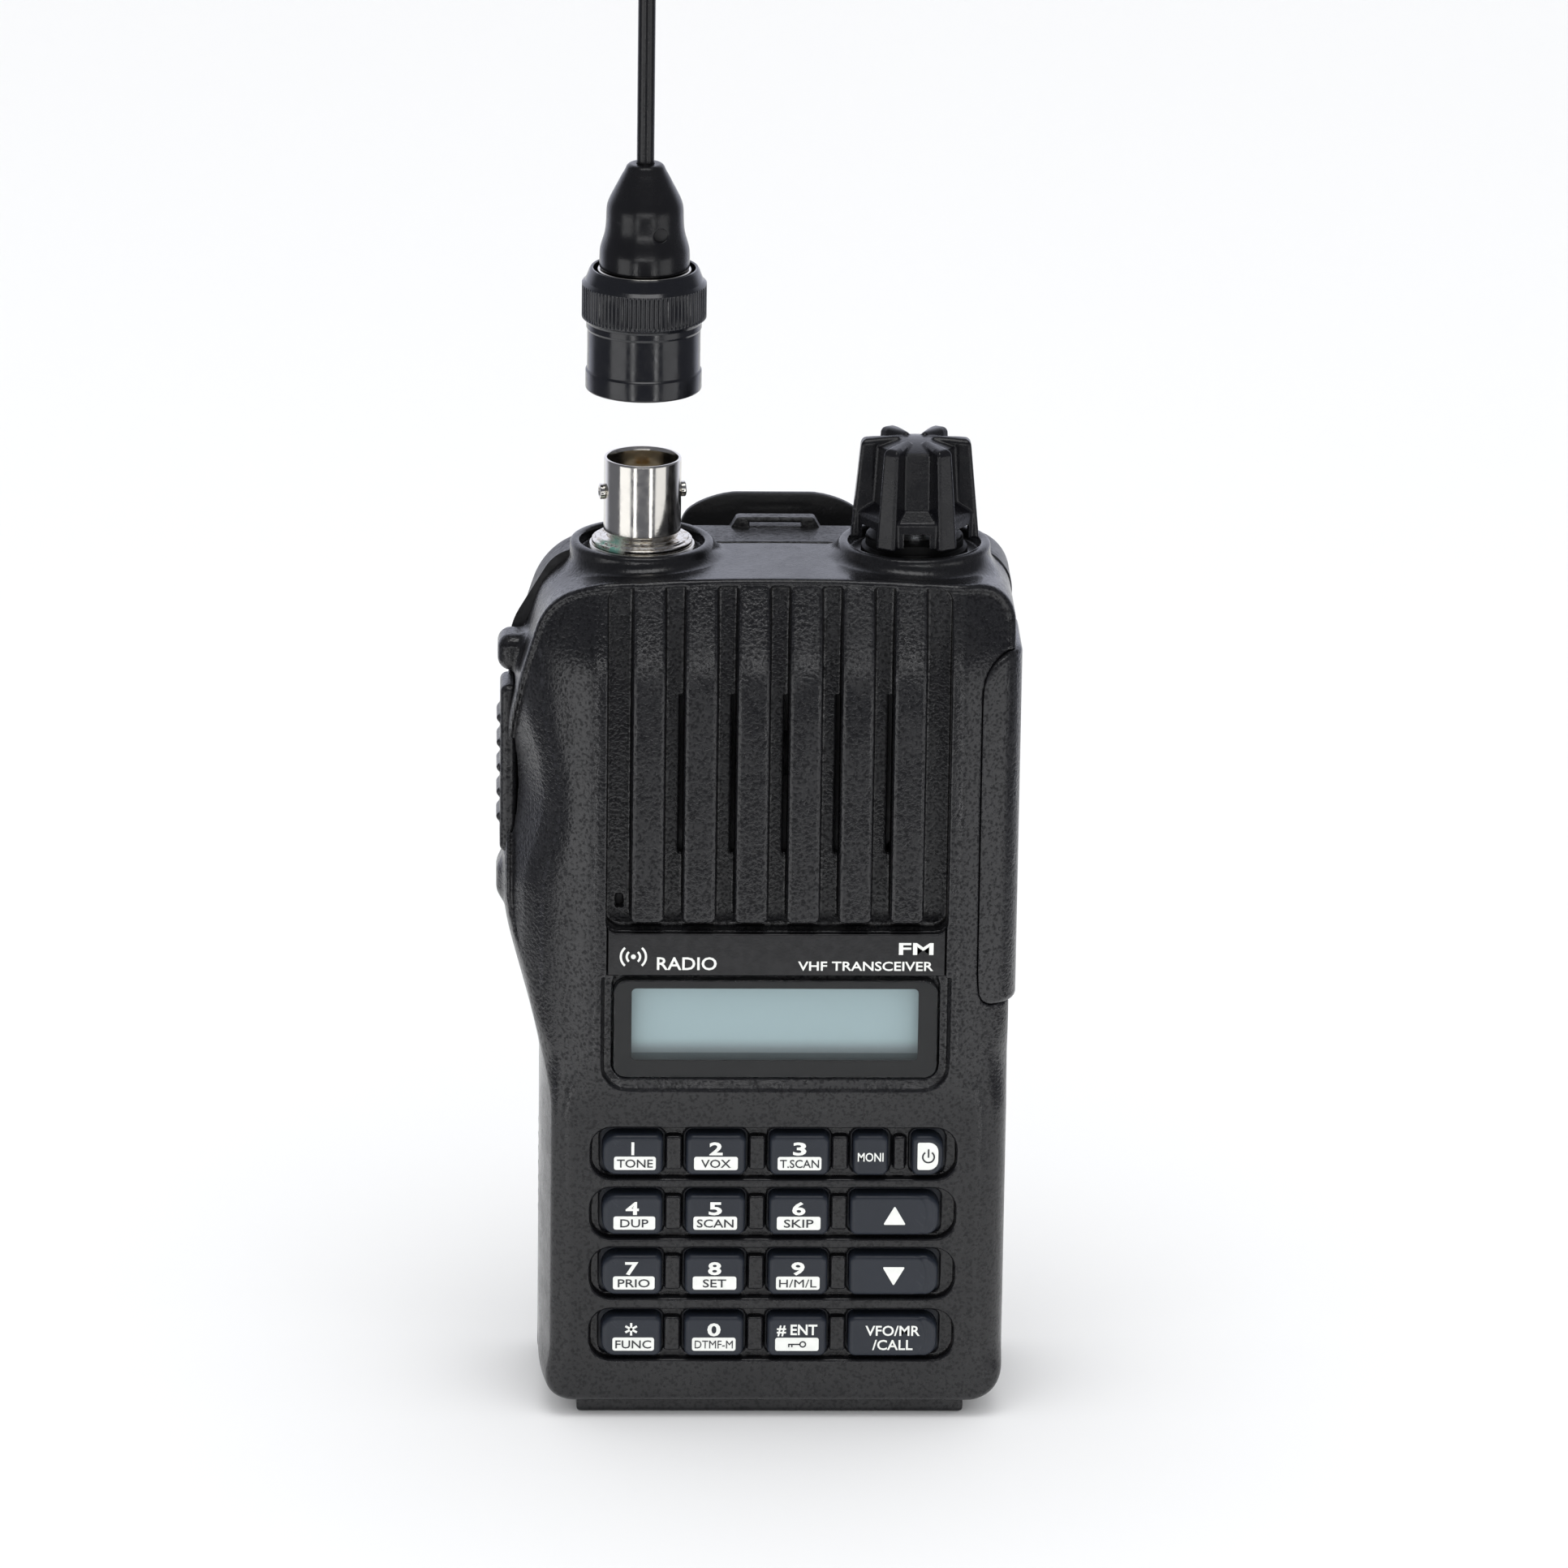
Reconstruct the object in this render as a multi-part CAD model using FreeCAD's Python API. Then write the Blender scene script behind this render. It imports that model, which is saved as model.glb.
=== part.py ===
"""Handheld VHF transceiver, built as an assembly of separate pieces.

Millimetres. +X is to the right seen from the front, +Y runs from the keypad to the back, +Z is up.
The origin is on the ground plane, under the axes of the aerial jack and the volume knob.
The aerial is lifted off its jack: it hangs above it by LIFT.
"""
import FreeCAD, Part
import math
import os

V = FreeCAD.Vector

# ---------------------------------------------------------------- driving dimensions
HALF_W = 29.6            # half the width of the lower body
FLARE_X = -34.4          # left side of the case where the talk button sits
RIM_Z = 2.2              # lower rim of the front case above the ground
TOP_Z = 112.6            # top of the front case
FACE_Y = -14.6           # keypad face
RAIL_Y = -16.0           # crest of the rails beside the grille
PART_Y = 3.7             # parting plane of front case and chassis
GASKET_Y = 3.95          # front of the chassis behind the gasket
PLATE_Y = 5.2            # back of the chassis plate, front of the battery
BACK_Y = 15.2            # back of the battery
WALL = 1.8               # case wall
INNER_Y = FACE_Y + WALL  # inside of the keypad wall

GRILLE_X = 21.7          # half the width of the grille recess
GRILLE_Z = 66.4          # lower edge of the grille recess
GRILLE_TOP = 111.3       # underside of the lip over the grille
GRILLE_Y = -11.6         # floor of the grille recess
RIB_PITCH = 6.6
RIB_W = 4.3
RIB_COUNT = 6

LENS = (-20.7, 20.7, 46.8, 60.0)      # x0, x1, z0, z1 of the display window
LCD = (-19.0, 19.0, 48.8, 58.2)       # opening behind the window
STRIP = (-21.5, 21.5, 60.7, 66.3)     # gloss strip between grille and window

KEY_H = 5.4
KEY_GAP = 0.2
ROW_Z = [36.35, 28.2, 20.0, 11.6]
COLUMNS = [(-18.05, 7.7), (-7.4, 7.6), (3.3, 7.6)]
WIDE_KEY = (15.6, 11.4)
SMALL_KEY = (12.4, 4.5)
POWER_KEY = (19.7, 4.0)
POST_X = [-12.8, -2.1, 8.5]

JACK_X = -17.3
KNOB_X = 17.3
BOSS_Z = 114.2           # rim of the two collars on top
COLLARS = [(JACK_X, 9.15), (KNOB_X, 9.7)]   # x and outer radius of each collar
JACK_R = 4.8             # bayonet barrel
JACK_BASE = 114.6        # top of the jack flange
JACK_MOUTH = 124.7
LUG_Z = 120.55
LUG_SPAN = 5.55
LUG_TURN = 8.0           # the lugs' axis is turned this much from X, degrees
LIFT = 18.5              # the aerial's height above its seated place
SCREW_Z = 136.5          # set screw of the aerial, seated
WHIP_TOP = 262.0         # height of the whip's tip when the aerial is seated

PTT_Z = (73.3, 95.7)
PTT_Y = (-4.2, 3.0)
COVER_Z = (56.2, 103.3)
COVER_Y = 2.4            # rear edge of the socket cover, where it hinges

HEAD_Y = 13.6            # back of the chassis head, above the battery
HEAD_TOP = 112.5         # top of the chassis head
EYELET_Y = (11.2, 13.4)  # strap eyelet on the head
BATTERY_TOP = 86.5       # height of the battery's hook line
CLIP_PIN = (17.4, 101.0)  # y, z of the belt clip's pin


# ---------------------------------------------------------------- shape helpers
def box(x0, x1, y0, y1, z0, z1):
    return Part.makeBox(x1 - x0, y1 - y0, z1 - z0, V(x0, y0, z0))


def rod(radius, start, end):
    along = V(*end) - V(*start)
    return Part.makeCylinder(radius, along.Length, V(*start), along)


def post(radius, x, y, z0, z1):
    return rod(radius, (x, y, z0), (x, y, z1))


def rounded_face(corners, place):
    """A face from (u, v, radius) corners; place turns (u, v) into a point."""
    count = len(corners)
    joints = []
    for index in range(count):
        u, v, radius = corners[index]
        here = V(u, v, 0)
        before = V(*corners[index - 1][:2], 0) - here
        after = V(*corners[(index + 1) % count][:2], 0) - here
        before.normalize()
        after.normalize()
        if radius <= 0:
            joints.append((here, None, here))
            continue
        half = before.getAngle(after) / 2
        reach = radius / math.tan(half)
        middle = before + after
        middle.normalize()
        centre = here + middle * (radius / math.sin(half))
        joints.append((here + before * reach, centre - middle * radius, here + after * reach))
    edges = []
    for index in range(count):
        start, bulge, end = joints[index]
        if bulge is not None:
            points = [place(p.x, p.y) for p in (start, bulge, end)]
            edges.append(Part.Arc(*points).toShape())
        following = joints[(index + 1) % count][0]
        if (following - end).Length > 1e-6:
            edges.append(Part.makeLine(place(end.x, end.y), place(following.x, following.y)))
    return Part.Face(Part.Wire(edges))


def along_x(corners, x0, x1):
    return rounded_face(corners, lambda y, z: V(x0, y, z)).extrude(V(x1 - x0, 0, 0))


def along_y(corners, y0, y1):
    return rounded_face(corners, lambda x, z: V(x, y0, z)).extrude(V(0, y1 - y0, 0))


def along_z(corners, z0, z1):
    return rounded_face(corners, lambda x, y: V(x, y, z0)).extrude(V(0, 0, z1 - z0))


def rect(x0, x1, z0, z1, r=0.0):
    return [(x0, z0, r), (x1, z0, r), (x1, z1, r), (x0, z1, r)]


def turned(profile, x, y):
    """A solid of revolution about the vertical line at x, y from (radius, z) points."""
    points = [V(x + radius, y, z) for radius, z in profile]
    face = Part.Face(Part.makePolygon(points + points[:1]))
    return face.revolve(V(x, y, 0), V(0, 0, 1), 360)


def fuse(*shapes):
    return shapes[0].multiFuse(list(shapes[1:])).removeSplitter()


def cut(shape, *tools):
    return shape.cut(Part.Compound(list(tools))) if tools else shape


def chamfer_front(solid, y, size):
    """Chamfer the edges that lie in the plane at y."""
    edges = [e for e in solid.Edges if all(abs(v.Y - y) < 1e-6 for v in e.Vertexes)]
    return solid.makeChamfer(size, edges)


# ---------------------------------------------------------------- case
def body_outline(inset=0.0):
    side = HALF_W - inset
    low = RIM_Z + inset
    high = TOP_Z - inset
    return [(-side, low, 4.2), (side, low, 4.2), (side, high - 1.2, 6.0), (8, high, 60), (-8, high, 60),
            (-side, high - 1.2, 6.0)]


def flare_outline(inset=0.0):
    side = FLARE_X + inset
    waist = -HALF_W + 0.02 + inset
    return [(-20, 40, 0), (waist, 40, 0), (waist, 48.5, 35), (side, 66.5, 22), (side, 101.5, 9),
            (-28.5 + inset, TOP_Z - 0.8 - inset, 5), (-20, TOP_Z - 0.3 - inset, 0)]


def front_profile():
    return [(PART_Y, 42, 0), (FACE_Y, 42, 0), (RAIL_Y, 48.5, 12), (RAIL_Y, 101, 16), (-12.4, 110.6, 3),
            (-12.3, TOP_Z - 0.2, 0.7), (PART_Y, TOP_Z, 0)]


def outer_body():
    lower_plan = [(-HALF_W, PART_Y, 0), (-HALF_W, FACE_Y, 4.5), (HALF_W, FACE_Y, 4.5), (HALF_W, PART_Y, 0)]
    lower_side = [(PART_Y, RIM_Z, 0), (FACE_Y, RIM_Z, 1.2), (FACE_Y, 60, 0), (PART_Y, 60, 0)]
    upper_plan = [(-HALF_W, PART_Y, 0), (-HALF_W, -12.3, 2), (-24.8, -15.4, 3), (-23.3, RAIL_Y, 0.6),
                  (23.3, RAIL_Y, 0.6), (24.8, -15.4, 3), (HALF_W, -12.0, 2), (HALF_W, PART_Y, 0)]
    flare_plan = [(-20, PART_Y, 0), (FLARE_X, PART_Y, 0), (FLARE_X, -4.5, 3.5), (-28.9, -13.9, 1.5),
                  (-24.8, -15.4, 3), (-20, -15.4, 0)]
    outline = along_y(body_outline(), -20, PART_Y)
    lower = along_z(lower_plan, 0, 60).common(along_x(lower_side, -40, 40)).common(outline)
    side = along_x(front_profile(), -40, 40)
    upper = along_z(upper_plan, 42, 115).common(side).common(outline)
    flare = along_z(flare_plan, 42, 115).common(side).common(along_y(flare_outline(), -20, PART_Y))
    return fuse(lower, upper, flare)


def inner_space():
    lower = along_y(body_outline(WALL), INNER_Y, PART_Y + 1).common(box(-40, 40, -20, 20, 0, 62))
    upper = along_y(body_outline(WALL), GRILLE_Y + 1.4, PART_Y + 1)
    flare = along_y(flare_outline(WALL), -4.0, PART_Y + 1).common(box(-40, -20, -20, 20, 50, 108))
    return fuse(lower, upper, flare)


def rib(x):
    plan = [(x - RIB_W / 2 - 0.1, GRILLE_Y + 0.2, 0), (x - RIB_W / 2, RAIL_Y, 0.9),
            (x + RIB_W / 2, RAIL_Y, 0.9), (x + RIB_W / 2 + 0.1, GRILLE_Y + 0.2, 0)]
    side = [(GRILLE_Y + 0.2, 67.3, 0), (-15.8, 67.3, 1.2), (-15.8, 100, 16), (-12.9, 110.4, 1.5),
            (GRILLE_Y + 0.2, 110.4, 0)]
    return along_z(plan, 60, 112).common(along_x(side, x - 5, x + 5))


def rib_centres():
    return [(index - (RIB_COUNT - 1) / 2) * RIB_PITCH for index in range(RIB_COUNT)]


def keys():
    """Every key as (name, centre x, centre z, width, left corner radius, right corner radius)."""
    places = []
    for row, z in enumerate(ROW_Z):
        for column, (x, width) in enumerate(COLUMNS):
            places.append((f"key_row{row + 1}_{column + 1}", x, z, width, 2.3 if column == 0 else 1.0, 1.0))
        if row == 0:
            places.append(("key_monitor", SMALL_KEY[0], z, SMALL_KEY[1], 1.0, 1.0))
            places.append(("key_power", POWER_KEY[0], z, POWER_KEY[1], 1.0, 1.6))
        else:
            name = ("key_up", "key_down", "key_call")[row - 1]
            places.append((name, WIDE_KEY[0], z, WIDE_KEY[1], 1.0, 2.3))
    return places


def key_outline(x, z, width, left, right, grow=0.0):
    half = width / 2 + grow
    tall = KEY_H / 2 + grow
    return [(x - half, z - tall, left), (x + half, z - tall, right), (x + half, z + tall, right),
            (x - half, z + tall, left)]


def front_case():
    collars = [post(radius, x, 0, TOP_Z - WALL, BOSS_Z) for x, radius in COLLARS]
    foot = along_z(rect(-25, 25, -12.2, PART_Y, 1.0), 0, RIM_Z + 0.5)
    skin = fuse(outer_body(), *collars, foot)
    guards = [along_y([(FLARE_X + 2, z0, 0), (-35.6, z0 + 0.6, 1.2), (-35.6, z1 - 0.6, 1.2), (FLARE_X + 2, z1, 0)],
                      -3.6, 2.8) for z0, z1 in ((66.4, 72.0), (97.0, 102.2))]
    skin = fuse(skin, *guards)
    recesses = [
        inner_space(),
        box(-GRILLE_X, GRILLE_X, -20, GRILLE_Y, GRILLE_Z, GRILLE_TOP),
        along_y([(-21.9, 45.2, 3), (21.9, 45.2, 3), (21.9, 67, 0), (-21.9, 67, 0)], -20, FACE_Y),
        along_y(lens_outline(0.1), -20, -13.85),
        box(STRIP[0] - 0.1, STRIP[1] + 0.1, -20, -14.2, STRIP[2] - 0.1, STRIP[3] + 0.2),
        box(LCD[0], LCD[1], -20, -10, LCD[2], LCD[3]),
        post(7.9, JACK_X, 0, TOP_Z, 120),
        post(8.4, KNOB_X, 0, TOP_Z, 120),
        post(4.9, JACK_X, 0, 105, 120),
        post(3.6, KNOB_X, 0, 105, 120),
        along_y(rect(-20.4, -19.6, 68.8, 70.3, 0.39), -20, 0),
        ptt_button_space(),
        cover_shape(0.12),
        rod(1.9, (24, -4, 92), (32, -4, 92)),
        rod(1.4, (24, -4, 78), (32, -4, 78)),
    ]
    for z in ROW_Z:
        recesses.append(along_y(rect(-23.4, 23.4, z - 3.35, z + 3.35, 2.7), -20, FACE_Y + 0.9))
    for _, x, z, width, left, right in keys():
        recesses.append(along_y(key_outline(x, z, width, left, right, KEY_GAP), -20, 0))
    for left, right in zip(rib_centres()[:-1], rib_centres()[1:]):
        middle = (left + right) / 2
        recesses.append(along_y(rect(middle - 0.7, middle + 0.7, 71, 105, 0.69), -20, 0))
    shell = cut(skin, *recesses)
    posts = []
    for row, z in enumerate(ROW_Z):
        for x in POST_X + ([16.1] if row == 0 else []):
            width = 1.05 if x != 16.1 else 0.8
            posts.append(along_y(rect(x - width, x + width, z - 2.1, z + 2.1, 0.5), FACE_Y + 0.1, INNER_Y))
    screw_posts = [cut(rod(2.4, (x, -6, z), (x, PART_Y, z)), rod(0.9, (x, -5, z), (x, PART_Y + 1, z)))
                   for x, z in case_screw_places()]
    ribs = [rib(x) for x in rib_centres()]
    return fuse(shell, *ribs, *posts, *screw_posts)


def case_screw_places():
    return [(-25.9, 6.2), (25.9, 6.2), (-25.9, 84.6), (25.9, 84.6)]


def case_gasket():
    outer = fuse(along_y(body_outline(0.35), PART_Y + 0.02, GASKET_Y - 0.02),
                 along_y(flare_outline(0.35), PART_Y + 0.02, GASKET_Y - 0.02))
    inner = fuse(along_y(body_outline(WALL), PART_Y, GASKET_Y), along_y(flare_outline(WALL), PART_Y, GASKET_Y))
    return cut(outer, inner, *collar_spaces())


def collar_spaces():
    """Room that the chassis and the gasket leave for the collars and for the jack below them."""
    spaces = [post(radius + 0.12, x, 0, TOP_Z - WALL - 0.12, 120) for x, radius in COLLARS]
    return spaces + [post(7.3, JACK_X, 0, 103, 120)]


def chassis_outline(y0, y1, inset=0.0):
    low = body_outline(inset)
    low[0] = (-HALF_W + inset, 0, 3.5)
    low[1] = (HALF_W - inset, 0, 3.5)
    return fuse(along_y(low, y0, y1), along_y(flare_outline(inset), y0, y1))


def rear_chassis():
    plate = chassis_outline(GASKET_Y, PLATE_Y)
    side = [(GASKET_Y, 88, 0), (GASKET_Y, HEAD_TOP, 0), (HEAD_Y, HEAD_TOP, 2.0), (HEAD_Y, 88, 1), (PLATE_Y, 88, 0)]
    head = chassis_outline(GASKET_Y, HEAD_Y + 1, -0.2).common(along_x(side, -40, 40))
    eyelet = along_z(rect(-5.2, 5.2, *EYELET_Y, 0.6), 108, 113.6)
    standoffs = [rod(1.8, (x, 1.9, z), (x, GASKET_Y + 0.5, z)) for x, z in board_screw_places()]
    body = fuse(plate, head, eyelet, *standoffs)
    tools = collar_spaces()
    tools += [box(-3.3, 3.3, EYELET_Y[0] - 1, HEAD_Y + 1, HEAD_TOP, 113.1),
             along_y(rect(-22, 22, 92, 108, 3), 3, 6.2),
             box(-9.4, 9.4, 3, 6, 0.3, 2.7)]
    for x in (-18, 18):
        tools.append(rod(1.35, (x - 4.3, PLATE_Y + 0.2, BATTERY_TOP), (x + 4.3, PLATE_Y + 0.2, BATTERY_TOP)))
        tools.append(box(x - 4.3, x + 4.3, PLATE_Y - 1.15, 8, BATTERY_TOP - 4, BATTERY_TOP))
    for x, z in case_screw_places():
        tools.append(rod(1.2, (x, 0, z), (x, 20, z)))
        tools.append(rod(2.2, (x, PLATE_Y - 0.6, z), (x, 20, z)))
    for x in (-15, -5, 5, 15):
        tools.append(box(x - 1.6, x + 1.6, 3, 6, 5.9, 12.1))
    for x in (-6, 6):
        tools.append(rod(1.0, (x, 7, 94), (x, 20, 94)))
    return cut(body, *tools)


def board_screw_places():
    return [(-22, 12), (22, 12), (-22, 76), (22, 76)]


def case_screws():
    screws = []
    for x, z in case_screw_places():
        head = rod(2.0, (x, PLATE_Y - 0.55, z), (x, PLATE_Y + 0.05, z))
        shank = rod(0.88, (x, -3.5, z), (x, PLATE_Y - 0.5, z))
        cross = [box(x - 1.1, x + 1.1, PLATE_Y - 0.3, 9, z - 0.2, z + 0.2),
                 box(x - 0.2, x + 0.2, PLATE_Y - 0.3, 9, z - 1.1, z + 1.1)]
        screws.append(cut(fuse(head, shank), *cross))
    return Part.Compound(screws)


# ---------------------------------------------------------------- front panel
def name_strip():
    return chamfer_front(box(STRIP[0], STRIP[1], -15.2, -14.22, STRIP[2], STRIP[3]), -15.2, 0.2)


def lens_outline(grow=0.0):
    x0, x1, z0, z1 = LENS
    return [(x0 - grow, z0 - grow, 1.7), (x1 + grow, z0 - grow, 1.7), (x1 + grow, z1 + grow, 0.4),
            (x0 - grow, z1 + grow, 0.4)]


def window_lens():
    return chamfer_front(along_y(lens_outline(), -15.0, -13.9), -15.0, 0.25)


def lcd_module():
    glass = box(-20.4, 20.4, -12.7, -11.6, 47.2, 59.6)
    holder = box(-21.5, 21.5, -11.6, -10.1, 46.0, 60.6)
    return fuse(glass, holder)


def key(x, z, width, left, right):
    cap = along_y(key_outline(x, z, width, left, right), -15.35, INNER_Y + 0.3)
    cap = chamfer_front(cap, -15.35, 0.4)
    flange = along_y(key_outline(x, z, width, left, right, 0.6), INNER_Y + 0.15, INNER_Y + 0.7)
    return fuse(cap, flange)


def keypad_sheet():
    sheet = along_y(rect(-25.5, 25.5, 4.5, 42.5, 2), -11.2, -10.2)
    domes = [rod(1.6, (x, -10.3, z), (x, -9.95, z)) for _, x, z, *_ in keys()]
    return fuse(sheet, *domes)


# ---------------------------------------------------------------- electronics
def speaker():
    x, z = 0, 88
    frame = rod(18, (x, -10.1, z), (x, -8.9, z))
    basket = Part.makeCone(16.5, 10.5, 3.6, V(x, -8.9, z), V(0, 1, 0))
    magnet = rod(8.5, (x, -5.3, z), (x, -2.2, z))
    cone_space = Part.makeCone(15.5, 4.0, 2.6, V(x, -10.1, z), V(0, 1, 0))
    cap = Part.makeSphere(3.4, V(x, -6.2, z))
    return fuse(cut(fuse(frame, basket, magnet), cone_space), cap)


def microphone():
    return rod(1.9, (-20.0, -10.1, 69.5), (-20.0, -7.6, 69.5))


def logic_board():
    board = along_y(rect(-26.2, 26.2, 4.9, 62.5, 2.0), -9.8, -8.8)
    parts = [box(-9, 9, -8.9, -7.6, 14, 32), box(12, 19, -8.9, -7.4, 20, 27), box(-20, -14, -8.9, -7.2, 36, 44)]
    return fuse(board, *parts)


def rf_board():
    board = along_y(rect(-26.2, 26.2, 10.0, 97.0, 1.5), 0.5, 1.8)
    cans = [box(-20, -2, -2.6, 0.6, 22, 52), box(4, 20, -2.6, 0.6, 22, 44), box(-12, 12, -2.0, 0.6, 58, 68)]
    places = [(x, z) for x, z in case_screw_places() if z > 10]
    return cut(fuse(board, *cans), *[rod(2.7, (x, -9, z), (x, 9, z)) for x, z in places])


def volume_control():
    can = box(KNOB_X - 5.5, KNOB_X + 5.5, -6.0, 3.2, 101.5, 108.2)
    bush = post(3.5, KNOB_X, 0, 108, 115.2)
    return cut(fuse(can, bush), post(3.05, KNOB_X, 0, 102.5, 120))


def control_shaft():
    shaft = post(3.0, KNOB_X, 0, 102.7, 124.5)
    return cut(shaft, box(KNOB_X - 4, KNOB_X + 4, 1.5, 4, 117.5, 130))


def control_nut():
    nut = turned([(3.55, TOP_Z), (6.65, TOP_Z), (6.65, 114.6), (6.2, 115.0), (3.55, 115.0)], KNOB_X, 0)
    return cut(nut, box(KNOB_X - 7, KNOB_X + 7, -0.5, 0.5, 114.3, 116))


def knob():
    """Volume knob: six ribs around a domed core, on a smooth skirt."""
    base, top = 114.7, 128.15
    outer = turned([(0, base), (8.05, base), (8.05, base + 1.0), (6.75, top - 1.6), (5.6, top - 0.5), (0, top)],
                   KNOB_X, 0)
    valleys = []
    for index in range(6):
        angle = math.radians(60 * index + 270)
        valley = Part.makeCone(3.1, 2.5, 11, V(0, 0, base + 4.2), V(0, 0, 1))
        valley.translate(V(KNOB_X + 8.6 * math.cos(angle), 8.6 * math.sin(angle), 0))
        valleys.append(valley)
    underside = post(7.3, KNOB_X, 0, base - 1, base + 2.2)
    bore = cut(post(3.04, KNOB_X, 0, base, 124.7), box(KNOB_X - 4, KNOB_X + 4, 1.54, 4, 117.6, 130))
    return cut(outer, underside, bore, *valleys)


def ptt_button_space():
    return box(-40, FLARE_X + 2.6, PTT_Y[0] - 0.2, PTT_Y[1] + 0.2, PTT_Z[0] - 0.2, PTT_Z[1] + 0.2)


def ptt_button():
    z0, z1 = PTT_Z
    side = [(-33.0, z0, 0), (-34.5, z0, 0.4), (-35.2, z0 + 1.6, 1.0), (-35.2, z1 - 1.6, 1.0),
            (-34.5, z1, 0.4), (-33.0, z1, 0)]
    pad = along_y(side, PTT_Y[0], PTT_Y[1])
    middle = (z0 + z1) / 2
    ridges = [rod(0.55, (-35.1, PTT_Y[0] + 1, middle + 3.3 * step), (-35.1, PTT_Y[1] - 1, middle + 3.3 * step))
              for step in (-2, -1, 0, 1, 2)]
    stem = box(-33.6, -31.6, -1.6, 1.6, middle - 1.5, middle + 1.5)
    return fuse(pad, stem, *ridges)


def ptt_switch():
    middle = sum(PTT_Z) / 2
    holder = box(-30.1, -28.4, -3.0, 3.0, middle - 5, middle + 5)
    dome = rod(1.3, (-30.5, 0, middle), (-30.0, 0, middle))
    return fuse(holder, dome)


# ---------------------------------------------------------------- side sockets
def cover_plan(grow):
    return [(25.6 - grow, -14.5 + grow, 0), (25.6 - grow, -15.6, 0.3), (26.3, -16.0 - grow, 0.5),
            (30.8 + grow, -12.6, 2.4), (30.8 + grow, COVER_Y + grow, 0.5), (29.0 - grow, COVER_Y + grow, 0.2),
            (29.0 - grow, -11.9 + grow, 1.2)]


def cover_shape(grow=0.0):
    z0, z1 = COVER_Z
    face = [(25.4 - grow, z0 - grow, 2.2), (40, z0 - grow, 0), (40, z1 + grow, 0), (25.4 - grow, z1 + grow, 5.2)]
    return along_z(cover_plan(grow), z0 - grow, z1 + grow).common(along_y(face, -20, 20))


def jack_cover():
    plugs = [rod(radius, (28.0, -4, z), (29.3, -4, z)) for radius, z in ((1.6, 92), (1.1, 78))]
    return fuse(cover_shape(), *plugs)


def socket(z, bore, size):
    body = box(19.5, 27.6, -4 - size, -4 + size, z - size, z + size)
    return cut(body, rod(bore, (20.5, -4, z), (30, -4, z)))


def speaker_socket():
    return socket(92, 1.78, 3.2)


def mic_socket():
    return socket(78, 1.28, 2.8)


# ---------------------------------------------------------------- aerial jack
def jack_shell():
    profile = [(4.1, 106.2), (4.6, 106.2), (4.6, 113.75), (6.4, 113.75), (6.4, JACK_BASE), (4.6, JACK_BASE),
               (4.6, LUG_Z + 1.2), (JACK_R, LUG_Z + 1.4), (JACK_R, JACK_MOUTH - 0.3),
               (JACK_R - 0.3, JACK_MOUTH), (4.2, JACK_MOUTH), (4.1, 123.9)]
    turn = math.radians(LUG_TURN)
    reach = V(math.cos(turn), math.sin(turn), 0)
    lugs = []
    for sign in (-1, 1):
        start = V(JACK_X, 0, LUG_Z) + reach * (4.4 * sign)
        lugs.append(Part.makeCylinder(1.0, LUG_SPAN - 4.4, start, reach * sign))
    return fuse(turned(profile, JACK_X, 0), *lugs)


def jack_insulator():
    profile = [(1.0, 106.4), (4.05, 106.4), (4.05, 116.0), (2.4, 116.0), (2.4, 121.8), (1.0, 121.8)]
    return turned(profile, JACK_X, 0)


def jack_contact():
    profile = [(0, 104.0), (0.95, 104.0), (0.95, 122.3), (0.75, 122.3), (0.75, 112.0), (0, 112.0)]
    return turned(profile, JACK_X, 0)


def jack_washer():
    return turned([(4.8, TOP_Z + 0.02), (6.9, TOP_Z + 0.02), (6.9, 113.4), (6.6, 113.73), (4.8, 113.73)], JACK_X, 0)


def jack_nut():
    across = 6.4
    corners = [(JACK_X + across * math.cos(math.radians(60 * k + 30)), across * math.sin(math.radians(60 * k + 30)), 0)
               for k in range(6)]
    return cut(along_z(corners, 107.0, 109.2), post(4.65, JACK_X, 0, 100, 120))


# ---------------------------------------------------------------- aerial
def lifted(shape):
    shape.translate(V(0, 0, LIFT))
    return shape


def coupling_ring():
    """Bayonet ring, drawn in its seated place: entry slots at the lugs, then a quarter turn groove."""
    profile = [(5.0, 115.5), (7.2, 115.5), (7.2, 118.0), (7.0, 118.2), (7.0, 123.8), (7.3, 124.9), (7.75, 125.1),
               (7.75, 129.2), (7.45, 129.4), (6.75, 131.3), (6.35, 131.3), (6.35, 129.5), (5.3, 129.5),
               (5.3, 124.9), (5.0, 124.9)]
    ring = turned(profile, JACK_X, 0)
    groove = turned([(4.5, LUG_Z - 1.2), (5.85, LUG_Z - 1.2), (5.85, LUG_Z + 1.2), (4.5, LUG_Z + 1.2)], JACK_X, 0)
    entries = box(-5.85, 5.85, -1.25, 1.25, 115, LUG_Z + 1.2)
    entries.rotate(V(0, 0, 0), V(0, 0, 1), LUG_TURN)
    entries.translate(V(JACK_X, 0, 0))
    knurls = []
    for index in range(60):
        angle = math.radians(6 * index)
        knurls.append(post(0.22, JACK_X + 7.75 * math.cos(angle), 7.75 * math.sin(angle), 125.3, 129.0))
    return lifted(cut(ring, groove, entries, *knurls))


def plug_body():
    """Inner sleeve of the plug, with the shoulder that the boot stands on."""
    profile = [(2.6, 117.0), (3.9, 117.0), (3.9, 125.2), (5.2, 125.2), (5.2, 130.2), (6.0, 130.2), (6.0, 131.2),
               (4.6, 131.2), (4.6, 133.0), (2.6, 133.0)]
    return lifted(turned(profile, JACK_X, 0))


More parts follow.
